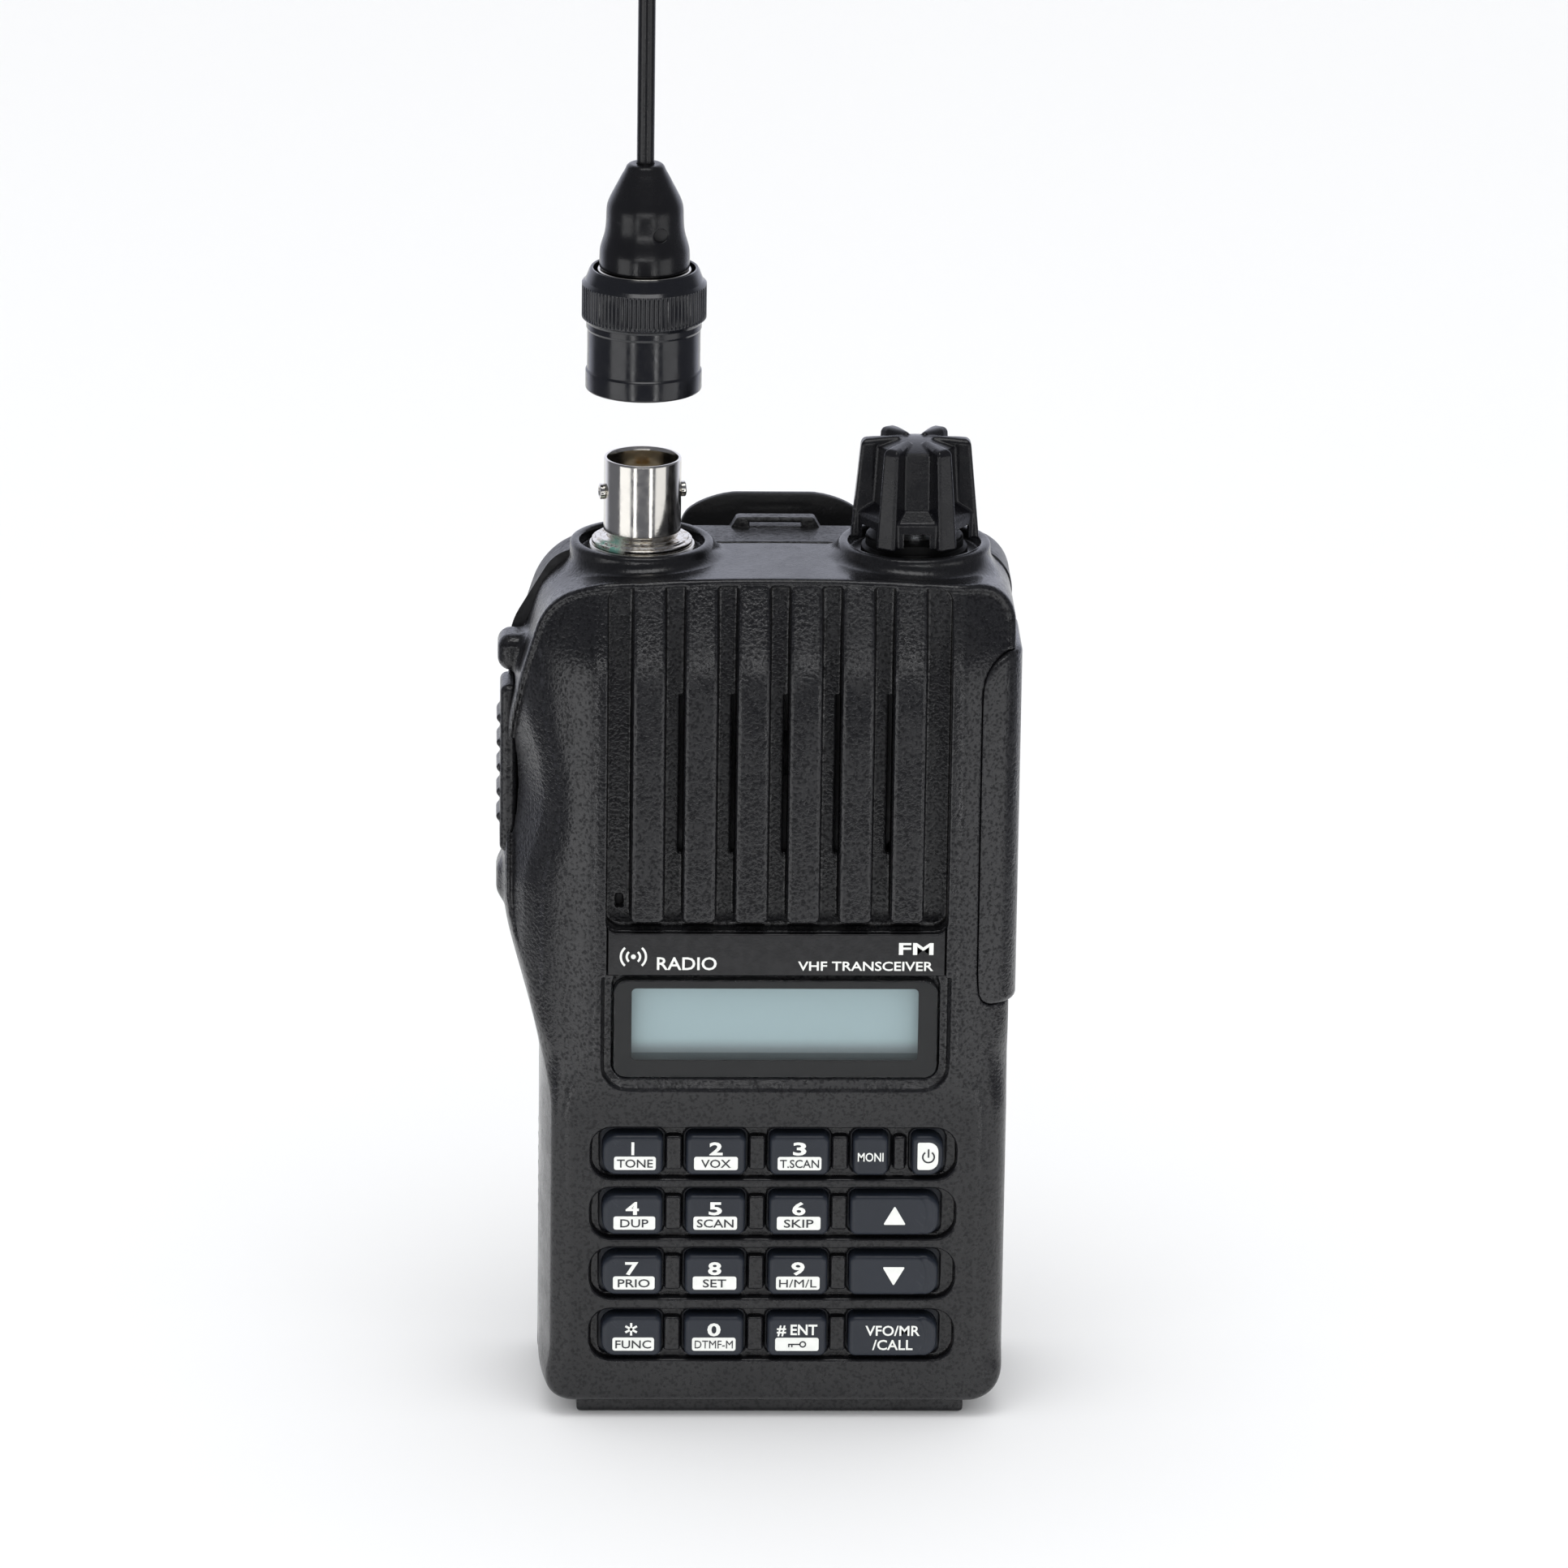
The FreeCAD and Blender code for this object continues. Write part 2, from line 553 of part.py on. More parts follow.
def plug_pin():
    profile = [(0, 116.4), (0.4, 116.4), (0.68, 117.1), (0.68, 123.0), (2.55, 123.0), (2.55, 132.9), (0, 132.9)]
    return lifted(turned(profile, JACK_X, 0))


def antenna_boot():
    profile = [(0, 131.25), (5.65, 131.25), (5.65, 133.6), (4.95, 136.2), (4.85, 139.3), (4.55, 140.2),
               (2.6, 144.1), (1.8, 144.75), (1.15, 144.75), (1.15, 136.0), (0, 136.0)]
    hollow = post(4.65, JACK_X, 0, 131, 133.05)
    hole = rod(0.95, (JACK_X + 1.9, -8, SCREW_Z), (JACK_X + 1.9, -2.6, SCREW_Z))
    return lifted(cut(turned(profile, JACK_X, 0), hollow, hole))


def set_screw():
    return lifted(rod(0.93, (JACK_X + 1.9, -4.0, SCREW_Z), (JACK_X + 1.9, -2.65, SCREW_Z)))


def antenna_whip():
    whip = post(1.1, JACK_X, 0, 136.05, WHIP_TOP)
    tip = Part.makeSphere(1.7, V(JACK_X, 0, WHIP_TOP))
    return lifted(fuse(whip, tip))


# ---------------------------------------------------------------- battery
def battery_body(inset=0.0):
    side = [(PLATE_Y + 0.2 + inset, 0 + inset, 0.8), (BACK_Y - inset, 0 + inset, 2.5),
            (BACK_Y - inset, 82.3 - inset, 1.5), (PLATE_Y + 0.2 + inset, BATTERY_TOP - inset, 0.4)]
    plan = [(-29.4 + inset, PLATE_Y + 0.2 + inset, 0), (29.4 - inset, PLATE_Y + 0.2 + inset, 0),
            (29.4 - inset, BACK_Y - inset, 4), (-29.4 + inset, BACK_Y - inset, 4)]
    face = rect(-29.4 + inset, 29.4 - inset, 0 + inset, 90, 3.0)
    return along_x(side, -40, 40).common(along_z(plan, 0, 90)).common(along_y(face, 0, 20))


def latch_space():
    return box(-9.3, 9.3, 0, 20, -1, 2.6)


def battery_shell():
    """Inner half of the battery case, with the hooks and the contact windows."""
    half = battery_body().common(box(-40, 40, 0, 8.0, -1, 90))
    tray = cut(half, battery_body(1.3), latch_space())
    hooks = [rod(1.2, (x - 4, PLATE_Y + 0.2, BATTERY_TOP), (x + 4, PLATE_Y + 0.2, BATTERY_TOP)) for x in (-18, 18)]
    roots = [box(x - 4, x + 4, PLATE_Y + 0.2, 8, BATTERY_TOP - 2.4, BATTERY_TOP - 1.2) for x in (-18, 18)]
    necks = [box(x - 4, x + 4, PLATE_Y - 0.4, PLATE_Y + 0.8, BATTERY_TOP - 2.4, BATTERY_TOP) for x in (-18, 18)]
    windows = [box(x - 1.7, x + 1.7, 5, 6.7, 5.8, 12.2) for x in (-15, -5, 5, 15)]
    return cut(fuse(tray, *hooks, *roots, *necks), *windows)


def battery_cover():
    half = battery_body().common(box(-40, 40, 8.02, 20, -1, 90))
    hollow = battery_body(1.3).common(box(-40, 40, 8.0, 20, 3.9, 90))
    pads = []
    for sign in (-1, 1):
        for z in range(20, 34, 2):
            pads.append(rod(0.55, (sign * 29.3, 8.6, z), (sign * 29.3, 11.0, z)))
    return cut(fuse(half, *pads), hollow, latch_space())


def battery_cells():
    cells = []
    for x in (-13.6, 13.6):
        plan = [(x - 12.9, 7.0, 2.5), (x + 12.9, 7.0, 2.5), (x + 12.9, 13.6, 2.5), (x - 12.9, 13.6, 2.5)]
        cells.append(along_z(plan, 14.0, 80.0))
    return Part.Compound(cells)


def battery_terminals():
    plates = [box(x - 1.5, x + 1.5, 6.72, 6.95, 4.6, 13.4) for x in (-15, -5, 5, 15)]
    return Part.Compound(plates)


def battery_latch():
    plate = box(-9.0, 9.0, PLATE_Y + 0.3, 15.6, 0.5, 2.3)
    tooth = box(-9.0, 9.0, 4.1, PLATE_Y + 0.4, 0.6, 2.2)
    grip = [box(-8.5, 8.5, y, y + 0.5, 0.2, 0.6) for y in (10.0, 11.5, 13.0)]
    tab = along_z([(-9, 15.3, 0), (9, 15.3, 0), (9, 16.4, 0.5), (-9, 16.4, 0.5)], 0.5, 5.0)
    return fuse(plate, tooth, tab, *grip)


def battery_contacts():
    """Spring contacts on the chassis, standing through its windows."""
    contacts = []
    for x in (-15, -5, 5, 15):
        strip = box(x - 1.2, x + 1.2, 2.4, 2.8, 4.0, 14.0)
        bow = along_x([(2.4, 6.6, 0), (6.3, 8.4, 0.8), (6.3, 9.6, 0.8), (2.4, 11.4, 0)], x - 1.2, x + 1.2)
        contacts.append(fuse(strip, bow))
    return Part.Compound(contacts)


# ---------------------------------------------------------------- belt clip
def clip_plate():
    y, z = CLIP_PIN
    plate = along_y(rect(-9.5, 9.5, 90, 108.5, 2), 13.65, 15.2)
    ears = []
    for x in (-8.4, 6.6):
        ear = along_x([(14.5, z - 3.5, 0), (y + 1.6, z - 1.8, 1.4), (y + 1.6, z + 1.8, 1.4), (14.5, z + 3.5, 0)],
                      x, x + 1.8)
        ears.append(ear)
    holes = [rod(1.05, (-10, y, z), (10, y, z))]
    for x in (-6, 6):
        holes.append(rod(1.1, (x, 12, 94), (x, 20, 94)))
        holes.append(rod(2.0, (x, 14.6, 94), (x, 20, 94)))
    return cut(fuse(plate, *ears), *holes)


def clip_screws():
    screws = []
    for x in (-6, 6):
        head = rod(1.9, (x, 14.62, 94), (x, 15.15, 94))
        shank = rod(0.97, (x, 8.0, 94), (x, 14.7, 94))
        cross = box(x - 1.2, x + 1.2, 14.9, 16, 93.8, 94.2)
        screws.append(cut(fuse(head, shank), cross))
    return Part.Compound(screws)


def clip_pin():
    y, z = CLIP_PIN
    return rod(1.0, (-8.6, y, z), (8.6, y, z))


def clip_spring():
    y, z = CLIP_PIN
    turns, pitch, radius, wire = 6, 0.95, 1.6, 0.38
    helix = Part.makeHelix(pitch, turns * pitch, radius)
    section = Part.Wire([Part.Circle(V(radius, 0, 0), V(0, 1, 0), wire).toShape()])
    coil = Part.Wire(helix.Edges).makePipeShell([section], True, True)
    coil.rotate(V(0, 0, 0), V(0, 1, 0), 90)
    coil.translate(V(-turns * pitch / 2, y, z))
    return coil


def clip_lever():
    """Belt clip: a plate with a thumb tab above the pin and a curled foot below.

    The foot stops short of the battery, which leaves room for the battery to tip out of its latch.
    """
    y, z = CLIP_PIN
    side = [(20.9, 46, 3), (21.2, 52, 6), (21.2, 104, 8), (22.2, 113.9, 0), (20.9, 114.0, 0), (19.5, 103, 8),
            (19.5, 52, 6), (18.9, 45, 2), (18.3, 41, 0), (19.9, 40.6, 0.6)]
    face = [(-7.0, 40, 4), (7.0, 40, 4), (9.0, 60, 20), (11.9, 107, 6), (11.9, 111.3, 1.5), (7.6, 114.0, 1.5),
            (-7.6, 114.0, 1.5), (-11.9, 111.3, 1.5), (-11.9, 107, 6), (-9.0, 60, 20)]
    plate = along_x(side, -13, 13).common(along_y(face, 10, 30))
    knuckles = []
    for x in (-6.3, 3.4):
        lug = along_x([(20.0, z - 3.4, 0), (y - 1.9, z - 1.6, 1.4), (y - 1.9, z + 1.6, 1.4), (20.0, z + 3.4, 0)],
                      x, x + 2.9)
        knuckles.append(lug)
    return cut(fuse(plate, *knuckles), rod(1.06, (-12, y, z), (12, y, z)))


# ---------------------------------------------------------------- write the pieces
PIECES = {
    "front_case": front_case, "rear_chassis": rear_chassis, "case_gasket": case_gasket,
    "case_screws": case_screws, "name_strip": name_strip, "window_lens": window_lens,
    "lcd_module": lcd_module, "keypad_sheet": keypad_sheet, "speaker": speaker, "microphone": microphone,
    "logic_board": logic_board, "rf_board": rf_board, "volume_control": volume_control,
    "control_shaft": control_shaft, "control_nut": control_nut, "volume_knob": knob,
    "talk_button": ptt_button, "talk_switch": ptt_switch, "socket_cover": jack_cover,
    "speaker_socket": speaker_socket, "mic_socket": mic_socket,
    "jack_shell": jack_shell, "jack_insulator": jack_insulator, "jack_contact": jack_contact,
    "jack_washer": jack_washer, "jack_nut": jack_nut, "coupling_ring": coupling_ring,
    "plug_body": plug_body, "plug_pin": plug_pin, "antenna_boot": antenna_boot, "set_screw": set_screw,
    "antenna_whip": antenna_whip, "battery_shell": battery_shell, "battery_cover": battery_cover,
    "battery_cells": battery_cells, "battery_terminals": battery_terminals, "battery_latch": battery_latch,
    "battery_contacts": battery_contacts, "clip_plate": clip_plate, "clip_screws": clip_screws,
    "clip_pin": clip_pin, "clip_spring": clip_spring, "clip_lever": clip_lever,
}


def write_pieces():
    os.makedirs("parts", exist_ok=True)
    shapes = {name: make() for name, make in PIECES.items()}
    for name, x, z, width, left, right in keys():
        shapes[name] = key(x, z, width, left, right)
    for name, shape in shapes.items():
        shape.exportStep(f"parts/{name}.step")
        print(name, shape.isValid(), len(shape.Solids), round(shape.Volume, 1))


write_pieces()
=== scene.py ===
"""Looks of the handheld radio: moulded shells, printed keys, nickel jack and black aerial on the CAD frame.

Shapes are worked out in millimetres as distance fields, negative inside, and skinned. X is to the right,
Y to the back and Z up.
"""
import bmesh
import bpy
import math
import numpy as np
from mathutils import Matrix, Vector


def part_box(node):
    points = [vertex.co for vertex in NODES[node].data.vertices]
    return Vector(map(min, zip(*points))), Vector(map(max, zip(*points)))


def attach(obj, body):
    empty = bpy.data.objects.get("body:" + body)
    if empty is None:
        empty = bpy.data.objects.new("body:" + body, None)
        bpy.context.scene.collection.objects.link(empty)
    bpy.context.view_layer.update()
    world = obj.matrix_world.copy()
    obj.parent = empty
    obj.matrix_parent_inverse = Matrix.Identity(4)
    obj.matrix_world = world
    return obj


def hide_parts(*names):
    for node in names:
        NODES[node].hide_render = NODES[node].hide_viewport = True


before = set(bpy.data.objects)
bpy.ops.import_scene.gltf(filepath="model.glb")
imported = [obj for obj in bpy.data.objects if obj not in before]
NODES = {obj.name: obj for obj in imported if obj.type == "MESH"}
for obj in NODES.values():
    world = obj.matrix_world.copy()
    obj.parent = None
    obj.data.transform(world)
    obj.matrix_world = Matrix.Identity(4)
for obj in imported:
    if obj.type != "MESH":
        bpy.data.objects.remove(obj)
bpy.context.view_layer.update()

MM = 0.001


def node_box(node):
    """Lowest and highest corner of a CAD node, in millimetres."""
    low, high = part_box(node)
    return np.array(low) / MM, np.array(high) / MM


def node_middle(node):
    low, high = node_box(node)
    return (low + high) / 2


# ---- distance fields
def grid(low, high, step):
    """Open grid axes X, Y, Z that cover a box, with a margin so that the surface closes inside it."""
    lines = [np.arange(low[i] - 3 * step, high[i] + 3 * step, step, dtype=np.float32) for i in range(3)]
    return lines[0][:, None, None], lines[1][None, :, None], lines[2][None, None, :]


def meet(a, b, r):
    """Where a and b are both solid, with the edge rounded by r."""
    u = np.maximum(a + r, 0)
    v = np.maximum(b + r, 0)
    return np.minimum(np.maximum(a, b), -r) + np.sqrt(u * u + v * v)


def join(a, b, r):
    """Where a or b is solid, with the inner corner filled by r."""
    u = np.maximum(r - a, 0)
    v = np.maximum(r - b, 0)
    return np.maximum(np.minimum(a, b), r) - np.sqrt(u * u + v * v)


def carve(a, b, r):
    """a with b taken out and the rim rounded by r."""
    return meet(a, -b, r)


def both(*shapes):
    """Where all shapes are solid, with sharp edges."""
    shared = shapes[0]
    for shape in shapes[1:]:
        shared = np.maximum(shared, shape)
    return shared


def cut(a, b):
    """a with b taken out, with sharp edges."""
    return np.maximum(a, -b)


def away(u, v):
    """Distance from the axis where u and v are zero."""
    return np.sqrt(u ** 2 + v ** 2)


def slab(u, low, high):
    """Between two planes."""
    return np.abs(u - (low + high) / 2) - (high - low) / 2


def plate(u, v, u0, u1, v0, v1, r):
    """Rounded rectangle in the u, v plane."""
    a = slab(u, u0 + r, u1 - r)
    b = slab(v, v0 + r, v1 - r)
    return np.sqrt(np.maximum(a, 0) ** 2 + np.maximum(b, 0) ** 2) + np.minimum(np.maximum(a, b), 0) - r


def block(X, Y, Z, low, high, r):
    """Rounded box."""
    q = [slab(axis, low[i] + r, high[i] - r) for i, axis in enumerate((X, Y, Z))]
    outside = np.sqrt(sum(np.maximum(part, 0) ** 2 for part in q))
    return outside + np.minimum(np.maximum(np.maximum(q[0], q[1]), q[2]), 0) - r


def ease(value, start, end):
    """0 before start, 1 after end and smooth between."""
    t = np.clip((value - start) / (end - start), 0, 1)
    return t * t * (3 - 2 * t)


def ramp(value, width):
    """Zero below 0 and value above it, with a soft knee."""
    return (value + np.sqrt(value * value + width * width)) / 2


# ---- skinning
def skin_field(field, axes):
    """Vertices (mm), quads and normals of the surface where the field is zero."""
    lines = [axis.ravel() for axis in axes]
    step = float(lines[0][1] - lines[0][0])
    shape = field.shape
    inside = field < 0
    points, cells, quads = [], [], []
    strides = (shape[1] * shape[2], shape[2], 1)
    flat = field.ravel()
    for axis in range(3):
        near = [slice(None)] * 3
        far = [slice(None)] * 3
        near[axis], far[axis] = slice(0, -1), slice(1, None)
        crossing = np.argwhere(inside[tuple(near)] != inside[tuple(far)])
        index = crossing @ np.array(strides)
        f0 = flat[index].astype(np.float64)
        f1 = flat[index + strides[axis]].astype(np.float64)
        point = crossing.astype(np.float64)
        point[:, axis] += f0 / (f0 - f1)
        b, c = strides[(axis + 1) % 3], strides[(axis + 2) % 3]
        corner = [index, index - b, index - b - c, index - c]
        for cell in corner:
            points.append(point)
            cells.append(cell)
        quad = np.stack(corner, axis=1)
        flip = f0 > 0
        quad[flip] = quad[flip][:, ::-1]
        quads.append(quad)
    names, place = np.unique(np.concatenate(cells), return_inverse=True)
    everything = np.concatenate(points)
    count = np.bincount(place, minlength=len(names))
    vertices = np.stack([np.bincount(place, everything[:, i], len(names)) / count for i in range(3)], axis=1)
    faces = np.searchsorted(names, np.concatenate(quads))
    for _ in range(2):
        value, slope = sample(flat, shape, strides, vertices)
        length = np.maximum((slope ** 2).sum(1), 1e-6)
        move = np.clip(value / step, -0.4, 0.4) * step / length
        vertices -= np.clip(slope * move[:, None], -0.35, 0.35)
    _, slope = sample(flat, shape, strides, vertices)
    normals = slope / np.maximum(np.linalg.norm(slope, axis=1), 1e-9)[:, None]
    return vertices * step + np.array([line[0] for line in lines]), faces, normals


def sample(flat, shape, strides, places):
    """Field value and slope at fractional grid places, by trilinear interpolation."""
    base = np.clip(np.floor(places).astype(np.int64), 0, np.array(shape) - 2)
    t = places - base
    index = base @ np.array(strides)
    corner = {}
    for i in (0, 1):
        for j in (0, 1):
            for k in (0, 1):
                corner[i, j, k] = flat[index + i * strides[0] + j * strides[1] + k].astype(np.float64)
    x, y, z = t[:, 0], t[:, 1], t[:, 2]

    def weight(i, j, k, skip):
        parts = [1 if skip == 0 else (x if i else 1 - x), 1 if skip == 1 else (y if j else 1 - y),
                 1 if skip == 2 else (z if k else 1 - z)]
        return parts[0] * parts[1] * parts[2]

    value = sum(corner[key] * weight(*key, None) for key in corner)
    slope = [sum(corner[key] * weight(*key, axis) * (1 if key[axis] else -1) for key in corner)
             for axis in range(3)]
    return value, np.stack(slope, axis=1)


def mesh_piece(name, vertices, faces, finish, normals=None):
    """A smooth mesh object from millimetre vertices."""
    mesh = bpy.data.meshes.new(name)
    sides = faces.shape[1]
    mesh.vertices.add(len(vertices))
    mesh.vertices.foreach_set("co", (vertices * MM).astype(np.float32).ravel())
    mesh.loops.add(faces.size)
    mesh.loops.foreach_set("vertex_index", faces.astype(np.int32).ravel())
    mesh.polygons.add(len(faces))
    mesh.polygons.foreach_set("loop_start", np.arange(0, faces.size, sides, dtype=np.int32))
    mesh.polygons.foreach_set("use_smooth", np.ones(len(faces), dtype=bool))
    mesh.update(calc_edges=True)
    mesh.validate()
    if normals is not None and len(normals) == len(mesh.vertices):
        mesh.normals_split_custom_set_from_vertices(normals.astype(np.float32).tolist())
    mesh.materials.append(FINISHES[finish])
    return link_object(name, mesh)


def link_object(name, data):
    """A new object that holds data, in the scene."""
    holder = bpy.data.objects.new(name, data)
    bpy.context.scene.collection.objects.link(holder)
    return holder


def fit(piece, body, node=None):
    """The piece rides the body and stands in for the CAD node."""
    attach(piece, body)
    if node:
        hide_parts(node)


def moulded(name, body, low, high, step, field, finish, node=None, slot=None):
    """A piece skinned from its field in the box low..high, on a grid of step millimetres."""
    axes = grid(low, high, step * (1))
    shape = np.ascontiguousarray(field(*axes), dtype=np.float32)
    vertices, faces, normals = skin_field(shape, axes)
    fit(mesh_piece(name, vertices, faces, finish, normals), body, node)


# ---- turned and flat shapes
ARC_STEPS = 5              # straight pieces in the arc of a rounded corner


def soften(corners):
    """Closed outline from (u, v, rounding) corners, with an arc at each rounded corner."""
    outline = []
    count = len(corners)
    for index in range(count):
        u, v, r = corners[index]
        here = np.array([u, v], dtype=float)
        before = np.array(corners[index - 1][:2], dtype=float) - here
        after = np.array(corners[(index + 1) % count][:2], dtype=float) - here
        before /= np.linalg.norm(before)
        after /= np.linalg.norm(after)
        if r <= 0:
            outline.append(here)
            continue
        half = math.acos(float(np.clip(before @ after, -1, 1))) / 2
        reach = r / math.tan(half)
        middle = (before + after) / np.linalg.norm(before + after)
        centre = here + middle * r / math.sin(half)
        start = here + before * reach - centre
        end = here + after * reach - centre
        sweep = math.atan2(start[0] * end[1] - start[1] * end[0], float(start @ end))
        for step in range(ARC_STEPS + 1):
            angle = sweep * step / ARC_STEPS
            turn = np.array([[math.cos(angle), -math.sin(angle)], [math.sin(angle), math.cos(angle)]])
            outline.append(centre + turn @ start)
    return np.array(outline)


def lathe(corners, centre, segments, ripple=None):
    """Vertices and quads of an outline of (radius, height, rounding) corners turned about a vertical axis."""
    outline = soften(corners)
    angles = np.arange(segments) * 2 * math.pi / segments
    radius = np.repeat(outline[:, :1], segments, axis=1)
    height = np.repeat(outline[:, 1:], segments, axis=1)
    if ripple is not None:
        radius = radius + ripple(radius, height, angles[None, :])
    across, along = centre[0] + radius * np.cos(angles), centre[1] + radius * np.sin(angles)
    vertices = np.stack([across, along, height], axis=-1)
    rows = len(outline)
    index = np.arange(rows * segments).reshape(rows, segments)
    above = np.roll(index, -1, 0)
    faces = np.stack([index, np.roll(index, -1, 1), np.roll(above, -1, 1), above], -1)
    return vertices.reshape(-1, 3), faces.reshape(-1, 4)


def turned(name, body, corners, centre, finish, node, segments=128, ripple=None):
    """A piece turned from an outline of corners; ripple changes its radius from place to place."""
    revolved(name, body, *lathe(corners, centre, segments, ripple), finish, node)


def revolved(name, body, vertices, faces, finish, node, slot=None):
    """A piece of turned surfaces: points welded, faces looking outwards, edges over 40 degrees sharp."""
    piece = mesh_piece(name, vertices, faces, finish)
    work = bmesh.new()
    work.from_mesh(piece.data)
    bmesh.ops.remove_doubles(work, verts=work.verts, dist=1e-7)
    bmesh.ops.dissolve_degenerate(work, edges=work.edges, dist=1e-7)
    bmesh.ops.recalc_face_normals(work, faces=work.faces)
    work.to_mesh(piece.data)
    work.free()
    piece.data.set_sharp_from_angle(angle=math.radians(40))
    fit(piece, body, node)


class Print:
    """Thin raised printing on one face, gathered into one object of several inks."""

    def __init__(self, name, face_y, body):
        self.name = name
        self.face_y = face_y
        self.body = body
        self.work = bmesh.new()
        self.inks = []

    def number(self, material):
        """Place of the ink among the object's materials."""
        if material not in self.inks:
            self.inks.append(material)
        return self.inks.index(material)

    def shape(self, outline, ink, height=0.04, depth=0.12):
        """A flat shape from (x, z) points, standing proud of the face by height."""
        number = self.number(ink)
        near = [self.work.verts.new((x * MM, (self.face_y - height) * MM, z * MM)) for x, z in outline]
        far = [self.work.verts.new((x * MM, (self.face_y + depth) * MM, z * MM)) for x, z in outline]
        faces = [self.work.faces.new(near), self.work.faces.new(far[::-1])]
        for index in range(len(near)):
            other = (index + 1) % len(near)
            faces.append(self.work.faces.new((near[index], far[index], far[other], near[other])))
        for face in faces:
            face.material_index = number

    def pad(self, x, z, width, tall, r, ink, height=0.04):
        half, up = width / 2, tall / 2
        corners = [(x - half, z - up, r), (x + half, z - up, r), (x + half, z + up, r), (x - half, z + up, r)]
        self.shape(soften(corners), ink, height)

    def arc(self, x, z, radius, width, start, end, ink, height=0.04):
        """Part of a ring, from start to end degrees, anticlockwise."""
        angles = np.radians(np.linspace(start, end, 25))
        outer, inner = ([(x + r * math.cos(a), z + r * math.sin(a)) for a in angles]
                        for r in (radius + width / 2, radius - width / 2))
        self.shape(outer + inner[::-1], ink, height)

    def text(self, words, x, z, tall, ink, height=0.04, width=None, bold=0.0, align="CENTER"):
        """Words with capitals tall millimetres high, squeezed or stretched to width."""
        curve = bpy.data.curves.new(self.name, "FONT")
        curve.body = words
        curve.resolution_u = 3
        curve.offset = bold
        curve.extrude = 0.05      # tells the front of a letter from its back, which are placed below
        holder = link_object(self.name, curve)
        mesh = bpy.data.meshes.new_from_object(holder)
        bpy.data.objects.remove(holder)
        bpy.data.curves.remove(curve)
        points = np.array([v.co for v in mesh.vertices])
        low, high = points.min(0), points.max(0)
        scale = tall / CAPITAL
        across = scale if width is None else width / (high[0] - low[0])
        shift = {"CENTER": (low[0] + high[0]) / 2, "LEFT": low[0], "RIGHT": high[0]}[align]
        number = self.number(ink)
        for vertex in mesh.vertices:
            u, v, w = vertex.co
            y = self.face_y + (LETTER_ROOT if w < 0 else -height)
            vertex.co = ((x + (u - shift) * across) * MM, y * MM, (z + (v * scale - tall / 2)) * MM)
        start = len(self.work.faces)
        self.work.from_mesh(mesh)
        self.work.faces.ensure_lookup_table()
        for index in range(start, len(self.work.faces)):
            self.work.faces[index].material_index = number
            self.work.faces[index].smooth = False
        bpy.data.meshes.remove(mesh)

    def finish(self, slot):
        """The object, riding its body."""
        bmesh.ops.remove_doubles(self.work, verts=self.work.verts, dist=1e-8)
        bmesh.ops.recalc_face_normals(self.work, faces=self.work.faces)
        mesh = bpy.data.meshes.new(self.name)
        self.work.to_mesh(mesh)
        self.work.free()
        for ink in self.inks:
            mesh.materials.append(ink)
        fit(link_object(self.name, mesh), self.body)


CAPITAL = 0.729            # height of a capital in the built-in font at size 1
LETTER_ROOT = 0.06         # how far letters reach into the face they stand on


# ---- finishes
FINISHES = {}              # every material, by name


class Nodes:
    """Shader nodes that compute."""

    def __init__(self, tree):
        self.tree = tree

    def add(self, kind):
        return self.tree.nodes.new("ShaderNode" + kind)

    def link(self, start, end):
        self.tree.links.new(start, end)

    def feed(self, target, value):
        """Link a socket to the target, or set the target to a plain value."""
        if isinstance(value, bpy.types.NodeSocket):
            self.link(value, target)
        else:
            target.default_value = value

    def math(self, kind, *values):
        node = self.add("Math")
        node.operation = kind
        for target, value in zip(node.inputs, values):
            self.feed(target, value)
        return node.outputs[0]

    def times(self, a, b):
        return self.math("MULTIPLY", a, b)

    def plus(self, a, b):
        return self.math("ADD", a, b)

    def minus(self, a, b):
        return self.math("SUBTRACT", a, b)

    def span(self, value, low, high, out_low=0.0, out_high=1.0):
        """Value from low..high carried to out_low..out_high, held at the ends."""
        node = self.add("MapRange")
        node.interpolation_type = "SMOOTHSTEP"
        for target, item in zip(node.inputs, (value, low, high, out_low, out_high)):
            self.feed(target, item)
        return node.outputs[0]

    def mix(self, factor, a, b):
        """Colour a where the factor is 0, and b where it is 1."""
        node = self.add("Mix")
        node.data_type = "RGBA"
        self.feed(node.inputs["Factor"], factor)
        self.feed(node.inputs[6], a)
        self.feed(node.inputs[7], b)
        return node.outputs[2]


